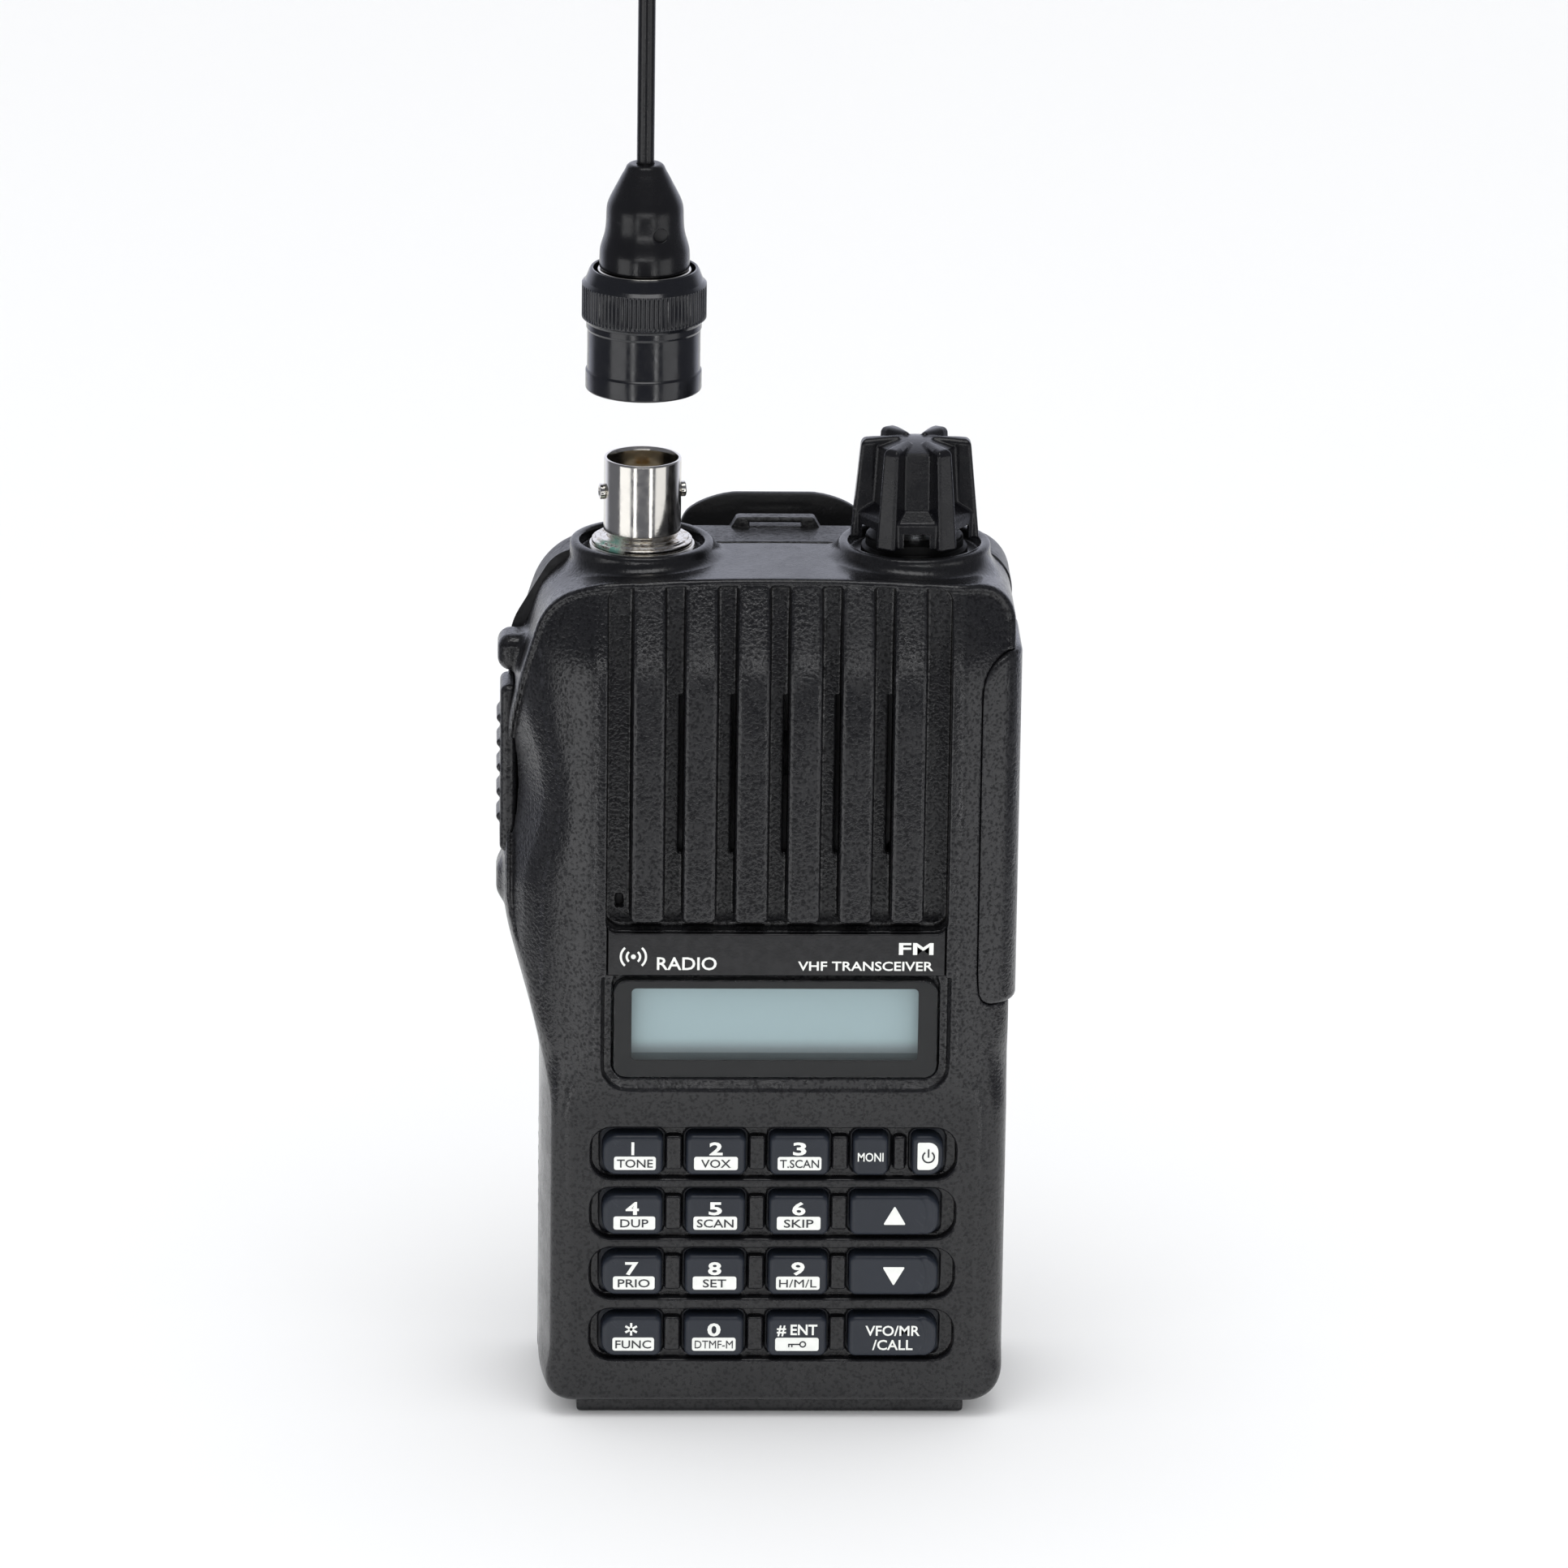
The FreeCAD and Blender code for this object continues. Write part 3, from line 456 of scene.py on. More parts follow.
class Recipe(Nodes):
    """One material, in object coordinates (metres at rest)."""

    def __init__(self, name):
        material = FINISHES[name] = bpy.data.materials.new(name)
        material.use_nodes = True
        super().__init__(material.node_tree)
        self.tree.nodes.clear()
        self.output = self.add("OutputMaterial")
        self.surface = self.add("BsdfPrincipled")
        self.link(self.surface.outputs[0], self.output.inputs[0])
        self.place = self.add("TexCoord").outputs["Object"]

    def noise(self, size, detail=3.0, rough=0.55, warp=0.0):
        """Noise with features of size millimetres, 0 to 1."""
        node = self.add("TexNoise")
        node.inputs["Scale"].default_value = 1 / (size * MM)
        node.inputs["Detail"].default_value = detail
        node.inputs["Roughness"].default_value = rough
        node.inputs["Distortion"].default_value = warp
        self.link(self.place, node.inputs["Vector"])
        return node.outputs["Fac"]

    def cells(self, size):
        """Distance to the middle of the nearest of scattered cells of size millimetres."""
        node = self.add("TexVoronoi")
        node.inputs["Scale"].default_value = 1 / (size * MM)
        self.link(self.place, node.inputs["Vector"])
        return node.outputs["Distance"]

    def axis(self, name):
        """One coordinate, in millimetres."""
        node = self.add("SeparateXYZ")
        self.link(self.place, node.inputs[0])
        return self.times(node.outputs[name], 1 / MM)

    def edge(self):
        """How convex the surface is here: 0.5 is flat, more is an edge."""
        return self.add("NewGeometry").outputs["Pointiness"]

    def bump(self, height, depth):
        """Height 0..1 pushed out by depth millimetres."""
        node = self.add("Bump")
        node.inputs["Strength"].default_value = 1.0
        self.feed(node.inputs["Distance"], depth * MM if isinstance(depth, float) else self.times(depth, MM))
        self.link(height, node.inputs["Height"])
        return node.outputs[0]

    def set(self, **values):
        """Inputs of the surface, with _ for the spaces in their names."""
        for name, value in values.items():
            self.feed(self.surface.inputs[name.replace("_", " ")], value)


def colour(r, g, b):
    """Linear colour from display values 0..255."""
    parts = []
    for value in (r, g, b):
        value /= 255
        parts.append(value / 12.92 if value <= 0.04045 else ((value + 0.055) / 1.055) ** 2.4)
    return (*parts, 1.0)


def scaled(tone, share, lift=0.0):
    """The colour made lighter or darker."""
    return tuple(min(1.0, part * share + lift) for part in tone[:3]) + (1.0,)


MOULDED_SHEEN = 0.45       # mirror strength of moulded plastic, 0.5 being plain glossy resin
DUST = colour(88, 82, 72)
RUBBED = colour(66, 66, 70)


def moulding(name, base, rough, size, depth, dust=0.1, wear=0.25, pits=0.0, finer_at_ends=False):
    """Moulded plastic: leathery grain, patchy gloss, a little dust in hollows and polish on edges.

    The grain's features are size millimetres wide and depth high; its pits mirror less, by the share pits.
    With finer_at_ends the grain is weaker on the keypad and on the deck.
    """
    r = Recipe(name)
    leather = r.plus(r.noise(size, 1, 0.4, 0.5), r.times(r.cells(size * 1.3), 0.5))
    fine = r.noise(size * 0.45, 1)
    grain = r.plus(r.times(leather, 0.8), r.times(fine, 0.3))
    if finer_at_ends:
        height = r.axis("Z")
        zone = r.times(r.span(height, 40, 50, 0.5, 1.0), r.span(height, 111.0, 112.3, 1.0, 0.35))
        depth = r.times(zone, depth)
        pits = r.times(zone, pits)
    normal = r.bump(grain, depth)
    patches = r.noise(9, 3)
    smear = r.noise(2.2, 4, 0.65, 0.5)
    cloud = r.plus(r.times(patches, 0.6), r.times(smear, 0.4))
    shine = r.span(cloud, 0.35, 0.65, rough - 0.06, rough + 0.07)
    convex = r.span(r.edge(), 0.52, 0.62)
    hollow = r.span(r.edge(), 0.48, 0.40)
    worn = r.times(convex, r.span(r.noise(1.1, 4), 0.35, 0.6, 0.3, 1.0))
    tone = r.mix(r.span(patches, 0.3, 0.7, 0.0, 0.35), base, scaled(base, 1.8, 0.001))
    tone = r.mix(r.times(worn, wear), tone, RUBBED)
    specks = r.span(r.noise(0.25, 1), 0.74, 0.78, 0.0, 0.25)
    dirt = r.times(hollow, r.span(smear, 0.4, 0.65, 0.2, 1.0))
    tone = r.mix(r.times(r.plus(dirt, specks), dust), tone, DUST)
    gloss = r.minus(shine, r.times(worn, 0.12))
    relief = r.times(r.span(grain, 0.56, 0.8, -1.0, 1.0), pits)
    sheen = r.times(r.plus(relief, 1.0), MOULDED_SHEEN)
    r.set(Base_Color=tone, Roughness=gloss, Normal=normal, Specular_IOR_Level=sheen)


def metal(name, base, rough, streak, spots, spot_amount):
    """Plated or bare metal with fine turning marks, spots of tarnish and uneven gloss."""
    r = Recipe(name)
    rings = r.math("SINE", r.times(r.axis("Z"), 60.0))
    pits = r.noise(0.35, 4, 0.7)
    normal = r.bump(r.plus(r.times(rings, streak), pits), 0.006)
    cloud = r.noise(2.5, 4, 0.6, 0.4)
    tone = r.mix(r.span(cloud, 0.35, 0.7, 0.0, 0.5), base, scaled(base, 0.72))
    tone = r.mix(r.times(r.span(r.noise(0.9, 5, 0.7), 0.58, 0.7), spot_amount), tone, spots)
    gloss = r.span(cloud, 0.3, 0.7, rough - 0.05, rough + 0.1)
    r.set(Base_Color=tone, Metallic=1.0, Roughness=gloss, Normal=normal)


def paint(name, base, rough, chips=0.0, sheen=0.5):
    """Printed ink, lacquer or rubber: slightly uneven tone with tiny chips."""
    r = Recipe(name)
    cloud = r.noise(1.4, 4, 0.6)
    tone = r.mix(r.span(cloud, 0.35, 0.7, 0.0, 0.4), base, scaled(base, 0.8))
    if chips:
        tone = r.mix(r.times(r.span(r.noise(0.5, 5, 0.7), 0.66, 0.7), chips), tone, colour(60, 58, 56))
    normal = r.bump(r.noise(0.3, 3), 0.006)
    r.set(Base_Color=tone, Roughness=r.span(cloud, 0.3, 0.7, rough - 0.04, rough + 0.08), Normal=normal,
          Specular_IOR_Level=sheen)


# ---- materials
moulding("case_plastic", colour(13, 13, 15), 0.25, 0.4, 0.055, dust=0.2, pits=0.42, finer_at_ends=True)
moulding("chassis_paint", colour(20, 20, 21), 0.38, 0.55, 0.12, dust=0.2, wear=0.3, pits=0.4)
moulding("battery_plastic", colour(13, 13, 15), 0.36, 0.45, 0.06, dust=0.15, pits=0.3)
moulding("cover_rubber", colour(15, 15, 17), 0.27, 0.4, 0.055, dust=0.2, wear=0.2, pits=0.45)
moulding("seal_rubber", colour(16, 16, 17), 0.6, 0.3, 0.01)
moulding("knob_plastic", colour(9, 9, 12), 0.27, 0.25, 0.018, dust=0.12, wear=0.3)
moulding("key_plastic", colour(21, 26, 35), 0.4, 0.2, 0.012, wear=0.15)
moulding("clip_plastic", colour(14, 14, 15), 0.45, 0.4, 0.05)
moulding("whip_black", colour(9, 9, 11), 0.25, 0.22, 0.012, dust=0.15)
paint("gloss_black", colour(14, 14, 16), 0.14)
paint("plug_black", colour(12, 13, 17), 0.16, chips=0.2, sheen=0.6)
paint("control_black", colour(8, 8, 8), 0.5, chips=0.1, sheen=0.2)
paint("component_black", colour(26, 26, 28), 0.5)
paint("mask_black", colour(12, 12, 14), 0.5, sheen=0.15)
paint("white_ink", colour(226, 228, 224), 0.45, chips=0.15)
paint("dark_ink", colour(34, 36, 42), 0.5)
paint("ptfe", colour(196, 180, 150), 0.5)
paint("circuit_board", colour(24, 74, 48), 0.35)
metal("nickel", colour(214, 211, 203), 0.13, 0.25, colour(120, 100, 74), 0.6)
metal("steel", colour(176, 178, 180), 0.3, 0.1, colour(96, 84, 72), 0.3)
metal("contact_gold", colour(222, 180, 96), 0.22, 0.0, colour(120, 90, 50), 0.3)
INK = FINISHES["white_ink"]
DARK_INK = FINISHES["dark_ink"]


def tarnished_nickel():
    """Nickel of the jack's barrel: brown film inside, green bloom at the left of its foot."""
    r = Recipe("jack_nickel")
    pits = r.noise(0.35, 4, 0.7)
    middle = node_middle("jack_shell")
    dx = r.minus(r.axis("X"), float(middle[0]))
    dy = r.minus(r.axis("Y"), float(middle[1]))
    dz = r.minus(r.axis("Z"), 114.6)
    radius = r.math("SQRT", r.plus(r.times(dx, dx), r.times(dy, dy)))
    inside = r.span(radius, 4.05, 4.5, 1.0, 0.0)
    cloud = r.noise(1.6, 5, 0.65, 0.5)
    left = r.span(r.plus(dx, r.times(cloud, 1.6)), -2.6, -1.2, 1.0, 0.0)
    front = r.span(dy, -3.4, -1.5, 1.0, 0.0)
    foot = r.span(r.plus(dz, r.times(cloud, 1.5)), 0.9, 1.9, 1.0, 0.0)
    bloom = r.times(r.times(left, front), foot)
    bloom = r.times(bloom, r.span(cloud, 0.36, 0.5))
    stain = r.times(r.span(dz, 0.2, 1.6, 1.0, 0.0), r.span(r.noise(0.8, 5, 0.7), 0.45, 0.65))
    tone = r.mix(r.times(stain, 0.55), colour(216, 213, 206), colour(140, 118, 84))
    tone = r.mix(r.times(inside, r.span(cloud, 0.3, 0.6, 0.55, 0.95)), tone, colour(128, 102, 68))
    tone = r.mix(r.times(bloom, 0.95), tone, colour(70, 126, 116))
    rough = r.plus(r.span(cloud, 0.35, 0.7, 0.1, 0.2), r.times(bloom, 0.5))
    rough = r.plus(rough, r.times(inside, 0.2))
    r.set(Base_Color=tone, Metallic=r.minus(1.0, bloom), Roughness=rough, Normal=r.bump(pits, 0.005))


def clear_window():
    """Clear plate: light passes straight through, and the face mirrors the studio a little."""
    r = Recipe("window")
    clear = r.add("BsdfTransparent")
    clear.inputs["Color"].default_value = (0.93, 0.95, 0.95, 1)
    mirror = r.add("BsdfGlossy")
    r.feed(mirror.inputs["Roughness"], r.span(r.noise(3, 4), 0.35, 0.7, 0.03, 0.09))
    fresnel = r.add("Fresnel")
    fresnel.inputs["IOR"].default_value = 1.45
    blend = r.add("MixShader")
    behind = r.add("NewGeometry").outputs["Backfacing"]
    r.link(r.times(fresnel.outputs[0], r.minus(1.0, behind)), blend.inputs[0])
    r.link(clear.outputs[0], blend.inputs[1])
    r.link(mirror.outputs[0], blend.inputs[2])
    r.link(blend.outputs[0], r.output.inputs[0])
    r.link(r.bump(r.noise(6, 2), 0.004), mirror.inputs["Normal"])


def display_glass():
    """Unlit display: grey green, with a painted shadow along its foot: a dark band and a soft painted shade
    above it.
    """
    r = Recipe("display_glass")
    height = r.axis("Z")
    # painted shadow: the display gets darker towards its foot, with a dark band at the bottom, where the
    # holder's shadow falls
    painted_shade = r.span(height, 49.6, 51.6)
    shadow_band = r.span(height, 49.35, 49.5)
    tone = r.mix(painted_shade, colour(128, 136, 140), colour(163, 179, 184))
    tone = r.mix(shadow_band, colour(78, 87, 91), tone)
    tone = r.mix(r.times(r.noise(0.12, 1), 0.1), tone, colour(186, 200, 202))
    gloss = r.span(r.noise(2, 2), 0.3, 0.7, 0.3, 0.36)
    r.set(Base_Color=tone, Roughness=gloss, Normal=r.bump(r.noise(0.3, 2), 0.004))


tarnished_nickel()
clear_window()
display_glass()

# ---- sizes shared by the shells, millimetres
COVER_LOW, COVER_HIGH = node_box("socket_cover")
CASE_TOP = float(node_box("front_case")[1][2])
KEYS = [name for name in sorted(NODES) if name.startswith("key_")]
JACK_X = node_middle("jack_shell")[0]
KNOB_X = node_middle("volume_knob")[0]
HALF_W = 29.9              # half width of the case
FLARE = 4.8                # how much wider it is at the upper left
TOP_Z = 112.6              # height of the deck
RIM_Z = 2.2                # foot of the front shell
PART_Y = 3.7               # back of the front shell
HEAD_Y = 13.6              # back of the chassis head
HEAD_TOP = 112.5
CREST_X = 23.3             # crests of the rails beside the grille
CREST_Y = -16.0
KEYPAD_Y = -14.6           # face round the keys
GRILLE = (-21.7, 21.7, 66.4, 111.3)     # left, right, foot and top of its recess
GRILLE_Y = -11.6           # floor of the recess
GRILLE_R = 1.7             # rounding of its corners
RIB_PITCH = 6.6
RIB_HALF = 2.15
COLLAR_FOOT = 104          # how far down the collars and their bores reach
# X, radius, radius of the recess and radius of the bore of each collar on the deck
COLLARS = ((JACK_X, 9.15, 7.9, 4.9), (KNOB_X, 9.7, 8.4, 3.6))
SOCKETS = ((92, 1.6), (78, 1.1))        # height and plug radius of the side sockets
# middle of each row of keys, lowest first
ROWS = sorted({round(float(node_middle(f"key_row{row}_1")[2]), 2) for row in (1, 2, 3, 4)})


def outline(X, Z, rim=RIM_Z, rim_r=4.6):
    """Distance to the shell's outline seen from the front: flared at the upper left, rounded elsewhere."""
    left = -HALF_W - FLARE * ease(Z, 46.5, 69) - X
    shoulder = (X + 34.4) * -0.868 + (Z - 101.3) * 0.497
    top = Z - TOP_Z + 0.055 * ramp(np.abs(X) - 10, 6)
    shape = meet(meet(left, shoulder, 8), top, 6)
    shape = meet(shape, X - HALF_W, 5.2)
    low = meet(np.abs(X) - HALF_W, rim - Z, rim_r) - 8 * ease(Z, 20, 30)
    return both(shape, low)


def flank(X, Y, Z):
    """Slanted side of the left flare, scooped where a finger reaches the talk button."""
    scoop = 1.25 * np.maximum(1 - ((Z - 83) / 13) ** 2, 0) ** 2
    return (X + 29.3) * -0.879 + (Y + 13.9) * -0.477 + scoop


def face_height(X, Z):
    """Y of the front surface: flat keypad below, crested rails above, bent back under the lip."""
    out = np.abs(X) - CREST_X
    rail = CREST_Y + 0.42 * ramp(out, 0.7) + 0.32 * ramp(out - 2.2, 2.0)
    rail = rail + 0.375 * ramp(Z - 101.8, 2.5)
    return KEYPAD_Y + (rail - KEYPAD_Y) * ease(Z, 41.5, 50)


def collar_field(X, Y, Z, x, outer):
    """Round collar that stands on the deck."""
    return meet(away(X - x, Y) - outer, Z - CASE_TOP, 0.55)


def front_case_field(X, Y, Z):
    """Front shell: outline and face, then everything that stands on it or is cut into it."""
    sides = outline(X, Z)
    face = meet(face_height(X, Z) - Y, flank(X, Y, Z), 1.6)
    lip = ease(Z, 58, 70) * np.where(X < 0, 1.0, ease(Z, 100, 104))
    face = face - 0.6 * (1 - ease(-sides, 0.5, 1.2)) * lip
    keypad = 1 - ease(Z, 42, 54)
    edge = 0.45 + 0.9 * (1 - lip) + 2.9 * keypad * ease(Z, 3, 10)
    body = meet(face, sides, edge)
    for x, outer, _, _ in COLLARS:
        body = join(body, both(collar_field(X, Y, Z, x, outer), COLLAR_FOOT - Z), 1.7)
    body = both(body, Y - PART_Y)
    for x, outer, _, _ in COLLARS:
        body = np.minimum(body, both(collar_field(X, Y, Z, x, outer), TOP_Z - 1.8 - Z))
    body = join(body, block(X, Y, Z, (-25, -12.2, 0), (25, PART_Y, 4.0), 0.5), 0.4)
    for z0, z1 in ((66.6, 72.0), (97.2, 102.0)):
        body = join(body, block(X, Y, Z, (-35.55, -3.4, z0), (-31, 2.6, z1), 1.7), 1.3)
    # hollow for the electronics
    inner_y = np.where(Z < 62, KEYPAD_Y + 1.8, GRILLE_Y + 1.4) + 3.0 * ease(np.abs(X), 23, 26)
    inner = both(both(sides, flank(X, Y, Z)) + 1.8, inner_y - Y, Z - 110.8)
    body = cut(body, inner)
    # grille recess, ribs, sound slots and the small slot at the lower left
    body = carve(body, both(plate(X, Z, *GRILLE, GRILLE_R), Y - GRILLE_Y), 0.25)
    inside_ribs = np.abs(X) < 3 * RIB_PITCH
    u = np.where(inside_ribs, np.mod(np.abs(X), RIB_PITCH) - RIB_PITCH / 2, 9)
    rib_face = -15.8 + 0.29 * ramp(Z - 101.2, 2.5) - Y
    rib = meet(meet(np.abs(u) - RIB_HALF + 0.03 * (Y - CREST_Y), rib_face, 0.6), 67.3 - Z, 0.9)
    rib = both(rib, Z - 111.6, Y + 10.9)
    body = join(body, rib, 0.35)
    slot_x = np.where(inside_ribs, np.mod(X + 3 * RIB_PITCH, RIB_PITCH) - RIB_PITCH / 2 + RIB_HALF + 0.25, 9)
    slot_x = np.where(X < -2.3 * RIB_PITCH, 9, slot_x)
    body = cut(body, both(np.abs(slot_x) - 0.24, slab(Z, 76, 97), Y + 10))
    body = cut(body, both(plate(X, Z, -20.45, -19.6, 68.6, 70.4, 0.35), Y + 9))
    undercut = both(slab(Z, 110.75, 111.35), np.abs(X) - 24.5, Y + 14.6)
    body = carve(body, undercut, 0.15)
    # window recess with its sloped sill, strip pocket and window pocket
    sink = np.maximum(-14.6 - Y, 0)
    recess = plate(X, Z, -21.9, 21.9, 45.2, 72, 3.2) - 0.32 * sink
    sill = Y + 14.45 + 0.22 * ramp(46.9 - Z, 0.3)
    body = carve(body, both(recess, sill, Z - 60.5), 0.3)
    strip = both(plate(X, Z, -21.6, 21.6, 60.6, 68.2, 0.2), Y + 14.2)
    body = cut(body, strip)
    body = cut(body, both(plate(X, Z, -20.85, 20.85, 46.7, 61.0, 1.8), Y + 13.8))
    body = cut(body, both(plate(X, Z, -18.9, 18.9, 48.4, 58.9, 0.9), Y + 9))
    # keypad channels, posts and key holes
    for z in ROWS:
        channel = both(plate(X, Z, -23.4, 23.4, z - 3.4, z + 3.4, 2.7), Y - KEYPAD_Y - 1.35)
        body = carve(body, channel, 0.4)
        for x in (-12.8, -2.1, 8.5) + ((16.1,) if z == ROWS[-1] else ()):     # between the keys
            half = 1.05 if x < 16 else 0.75
            post = meet(plate(X, Z, x - half, x + half, z - 2.3, z + 2.3, 0.35), -14.35 - Y, 0.3)
            body = np.minimum(body, both(post, Y + 12.9))
    for name in KEYS:
        low, high = node_box(name)
        hole = plate(X, Z, low[0] + 0.35, high[0] - 0.35, low[2] + 0.35, high[2] - 0.35, 1.0)
        body = cut(body, both(hole, Y + 12.0))
    # collar recesses, shaft holes, side pockets
    for x, _, recess_r, hole_r in COLLARS:
        radial = away(X - x, Y)
        body = carve(body, both(radial - recess_r, TOP_Z - Z), 0.3)
        body = cut(body, both(radial - hole_r, COLLAR_FOOT - Z))
    low, high = node_box("talk_button")
    pocket = block(X, Y, Z, (-45, low[1] - 0.2, low[2] - 0.2), (-31.8, high[1] + 0.2, high[2] + 0.2), 0.6)
    body = carve(body, pocket, 0.3)
    body = cut(body, cover_field(X, Y, Z, 0.03))
    for z, r in SOCKETS:
        body = cut(body, both(away(Y + 4, Z - z) - (r + 0.3), 22 - X))
    return body


def cover_field(X, Y, Z, grow=0.0):
    """Socket cover: an L in plan that wraps the right front corner, rounded above."""
    slope = (X - 25.4) * 0.455 - (Y + 14.9) * 0.89
    outer = both(meet(meet(slope, X - 30.8, 2.4), both(-16.0 - Y, Y - 2.4), 0.2), 25.6 - X)
    front = meet(25.6 - X, Z - COVER_HIGH[2], 5.2)
    foot = meet(25.6 - X, COVER_LOW[2] - Z, 2.2)
    soft = 0.12 + 0.7 * (1 - ease(Z, COVER_LOW[2] + 1, COVER_LOW[2] + 5)) + 0.7 * ease(Z, 96, 102)
    shape = meet(outer - grow, both(front, foot) - grow, soft)
    hollow = both(X - 29.0, (X - 25.4) * 0.455 - (Y + 13.4) * 0.89)
    return cut(shape, hollow + grow)


def rear_chassis_field(X, Y, Z):
    """Metal chassis: a plate behind the front shell and a head that stands out above the battery."""
    shape = outline(X, Z, 0.0, 3.5)
    plate_part = both(shape, slab(Y, 3.95, 5.2))
    head = meet(meet(shape - 0.2, Z - HEAD_TOP, 1.0), Y - HEAD_Y, 1.8)
    head = both(head, 3.95 - Y, 88 - Z)
    body = np.minimum(plate_part, head)
    for x, outer, _, _ in COLLARS:
        radial = away(X - x, Y) - outer - 0.13
        body = cut(body, both(radial, 110.7 - Z))
    radial = away(X - JACK_X, Y) - 7.3
    body = cut(body, both(radial, 103 - Z))
    body = cut(body, both(plate(X, Z, -22, 22, 92, 108, 3), slab(Y, 3, 6.2)))
    for x in (-18, 18):
        hook = plate(X, Z, x - 4.3, x + 4.3, 82.5, 87.8, 0.4)
        body = cut(body, both(hook, slab(Y, 4.05, 5.5)))
    body = cut(body, both(plate(X, Z, -9.4, 9.4, 0.3, 2.7, 0.2), slab(Y, 3, 6)))
    for x in (-25.9, 25.9):
        for z, r in ((6.2, 2.2), (84.6, 2.2)):
            radial = away(X - x, Z - z)
            body = cut(body, both(radial - r, 4.6 - Y))
            body = cut(body, radial - 1.2)
    for x in (-15, -5, 5, 15):
        body = cut(body, plate(X, Z, x - 1.6, x + 1.6, 5.9, 12.1, 0.3))
    for x in (-6, 6):
        body = cut(body, both(away(X - x, Z - 94) - 1.0, 7 - Y))
    return body


def build_eyelet():
    """Strap eyelet: a flat tab with a slot, on the top of the head."""

    def field(X, Y, Z):
        rise = meet((np.abs(X) - 4.95) * 0.86 + (Z - 113.6) * 0.5, Z - 113.6, 0.25)
        tab = meet(both(rise, HEAD_TOP - 2 - Z), slab(Y, 11.2, 13.4), 0.35)
        return carve(tab, plate(X, Z, -3.35, 3.35, HEAD_TOP - 0.1, 113.1, 0.2), 0.08)

    low, high = (-6.6, 11.0, HEAD_TOP - 2.1), (6.6, 13.6, 113.8)
    moulded("strap_eyelet", "radio", low, high, 0.12, field, "chassis_paint", "rear_chassis")


# ---- front panel
def build_strip():
    low, high = node_box("name_strip")

    def field(X, Y, Z):
        bar = plate(X, Z, low[0], high[0], low[2], 68.0, 0.15)
        bar = cut(bar, plate(X, Z, *GRILLE, GRILLE_R) - 0.12)
        return meet(bar, slab(Y, low[1], high[1]), 0.12)

    top = (high[0], high[1], 68.2)
    moulded("name_strip_gloss", "radio", low, top, 0.13, field, "gloss_black", "name_strip")
    words = Print("strip_print", low[1], "radio")
    words.text("VHF TRANSCEIVER", 19.95, 62.05, 1.25, INK, bold=0.014, width=17.2, align="RIGHT")
    words.text("FM", 19.95, 64.4, 1.6, INK, bold=0.022, width=4.4, align="RIGHT")
    for radius in (0.85, 1.6):
        for middle in (0, 180):
            words.arc(-18.2, 63.2, radius, 0.28, middle - 48, middle + 48, INK)
    words.pad(-18.2, 63.2, 0.62, 0.62, 0.3, INK)
    words.text("RADIO", -15.2, 62.35, 1.75, INK, bold=0.012, width=7.6, align="LEFT")
    words.finish("gloss_black")


def build_window():
    low, high = node_box("window_lens")

    def pane(X, Y, Z):
        shape = plate(X, Z, low[0], high[0], low[2], high[2], 1.7)
        return meet(shape, slab(Y, low[1], high[1]), 0.18)

    moulded("window_pane", "radio", low, high, 0.15, pane, "window", "window_lens")

    def border(X, Y, Z):
        ring = plate(X, Z, low[0] + 0.06, high[0] - 0.06, low[2] + 0.06, high[2] - 0.06, 1.65)
        view = plate(X, Z, -18.35, 18.2, 49.1, 58.75, 0.6)
        return both(cut(ring, view), slab(Y, low[1] + 0.22, low[1] + 0.5))

    front, back = (low[0], low[1] + 0.2, low[2]), (high[0], low[1] + 0.55, high[2])
    moulded("window_border", "radio", front, back, 0.1, border, "mask_black", slot="gloss_black")


def build_display():
    low, high = node_box("lcd_module")

    def field(X, Y, Z):
        glass = meet(plate(X, Z, -20.4, 20.4, 47.2, 59.6, 0.6), slab(Y, low[1], -11.5), 0.1)
        holder = meet(plate(X, Z, low[0], high[0], low[2], high[2], 0.5), slab(Y, -11.6, high[1]), 0.15)
        return np.minimum(glass, holder)

    moulded("display_module", "radio", low, high, 0.2, field, "display_glass", "lcd_module", "display")


# ---- keys
# what each key says: its digit, its second function, and that word's width in millimetres
LEGENDS = {
    "key_row1_1": ("1", "TONE", 4.6), "key_row1_2": ("2", "VOX", 3.8), "key_row1_3": ("3", "T.SCAN", 5.0),
    "key_row2_1": ("4", "DUP", 3.6), "key_row2_2": ("5", "SCAN", 4.7), "key_row2_3": ("6", "SKIP", 3.8),
    "key_row3_1": ("7", "PRIO", 4.1), "key_row3_2": ("8", "SET", 3.0), "key_row3_3": ("9", "H/M/L", 4.8),
    "key_row4_1": ("*", "FUNC", 4.6), "key_row4_2": ("0", "DTMF-M", 4.9), "key_row4_3": ("# ENT", "", 0),
}
KEY_FLANGE = 0.6           # width of the hidden skirt round a key's cap
KEY_R, KEY_END_R = 0.9, 1.9     # rounding of a cap's corners, and at the ends of a row


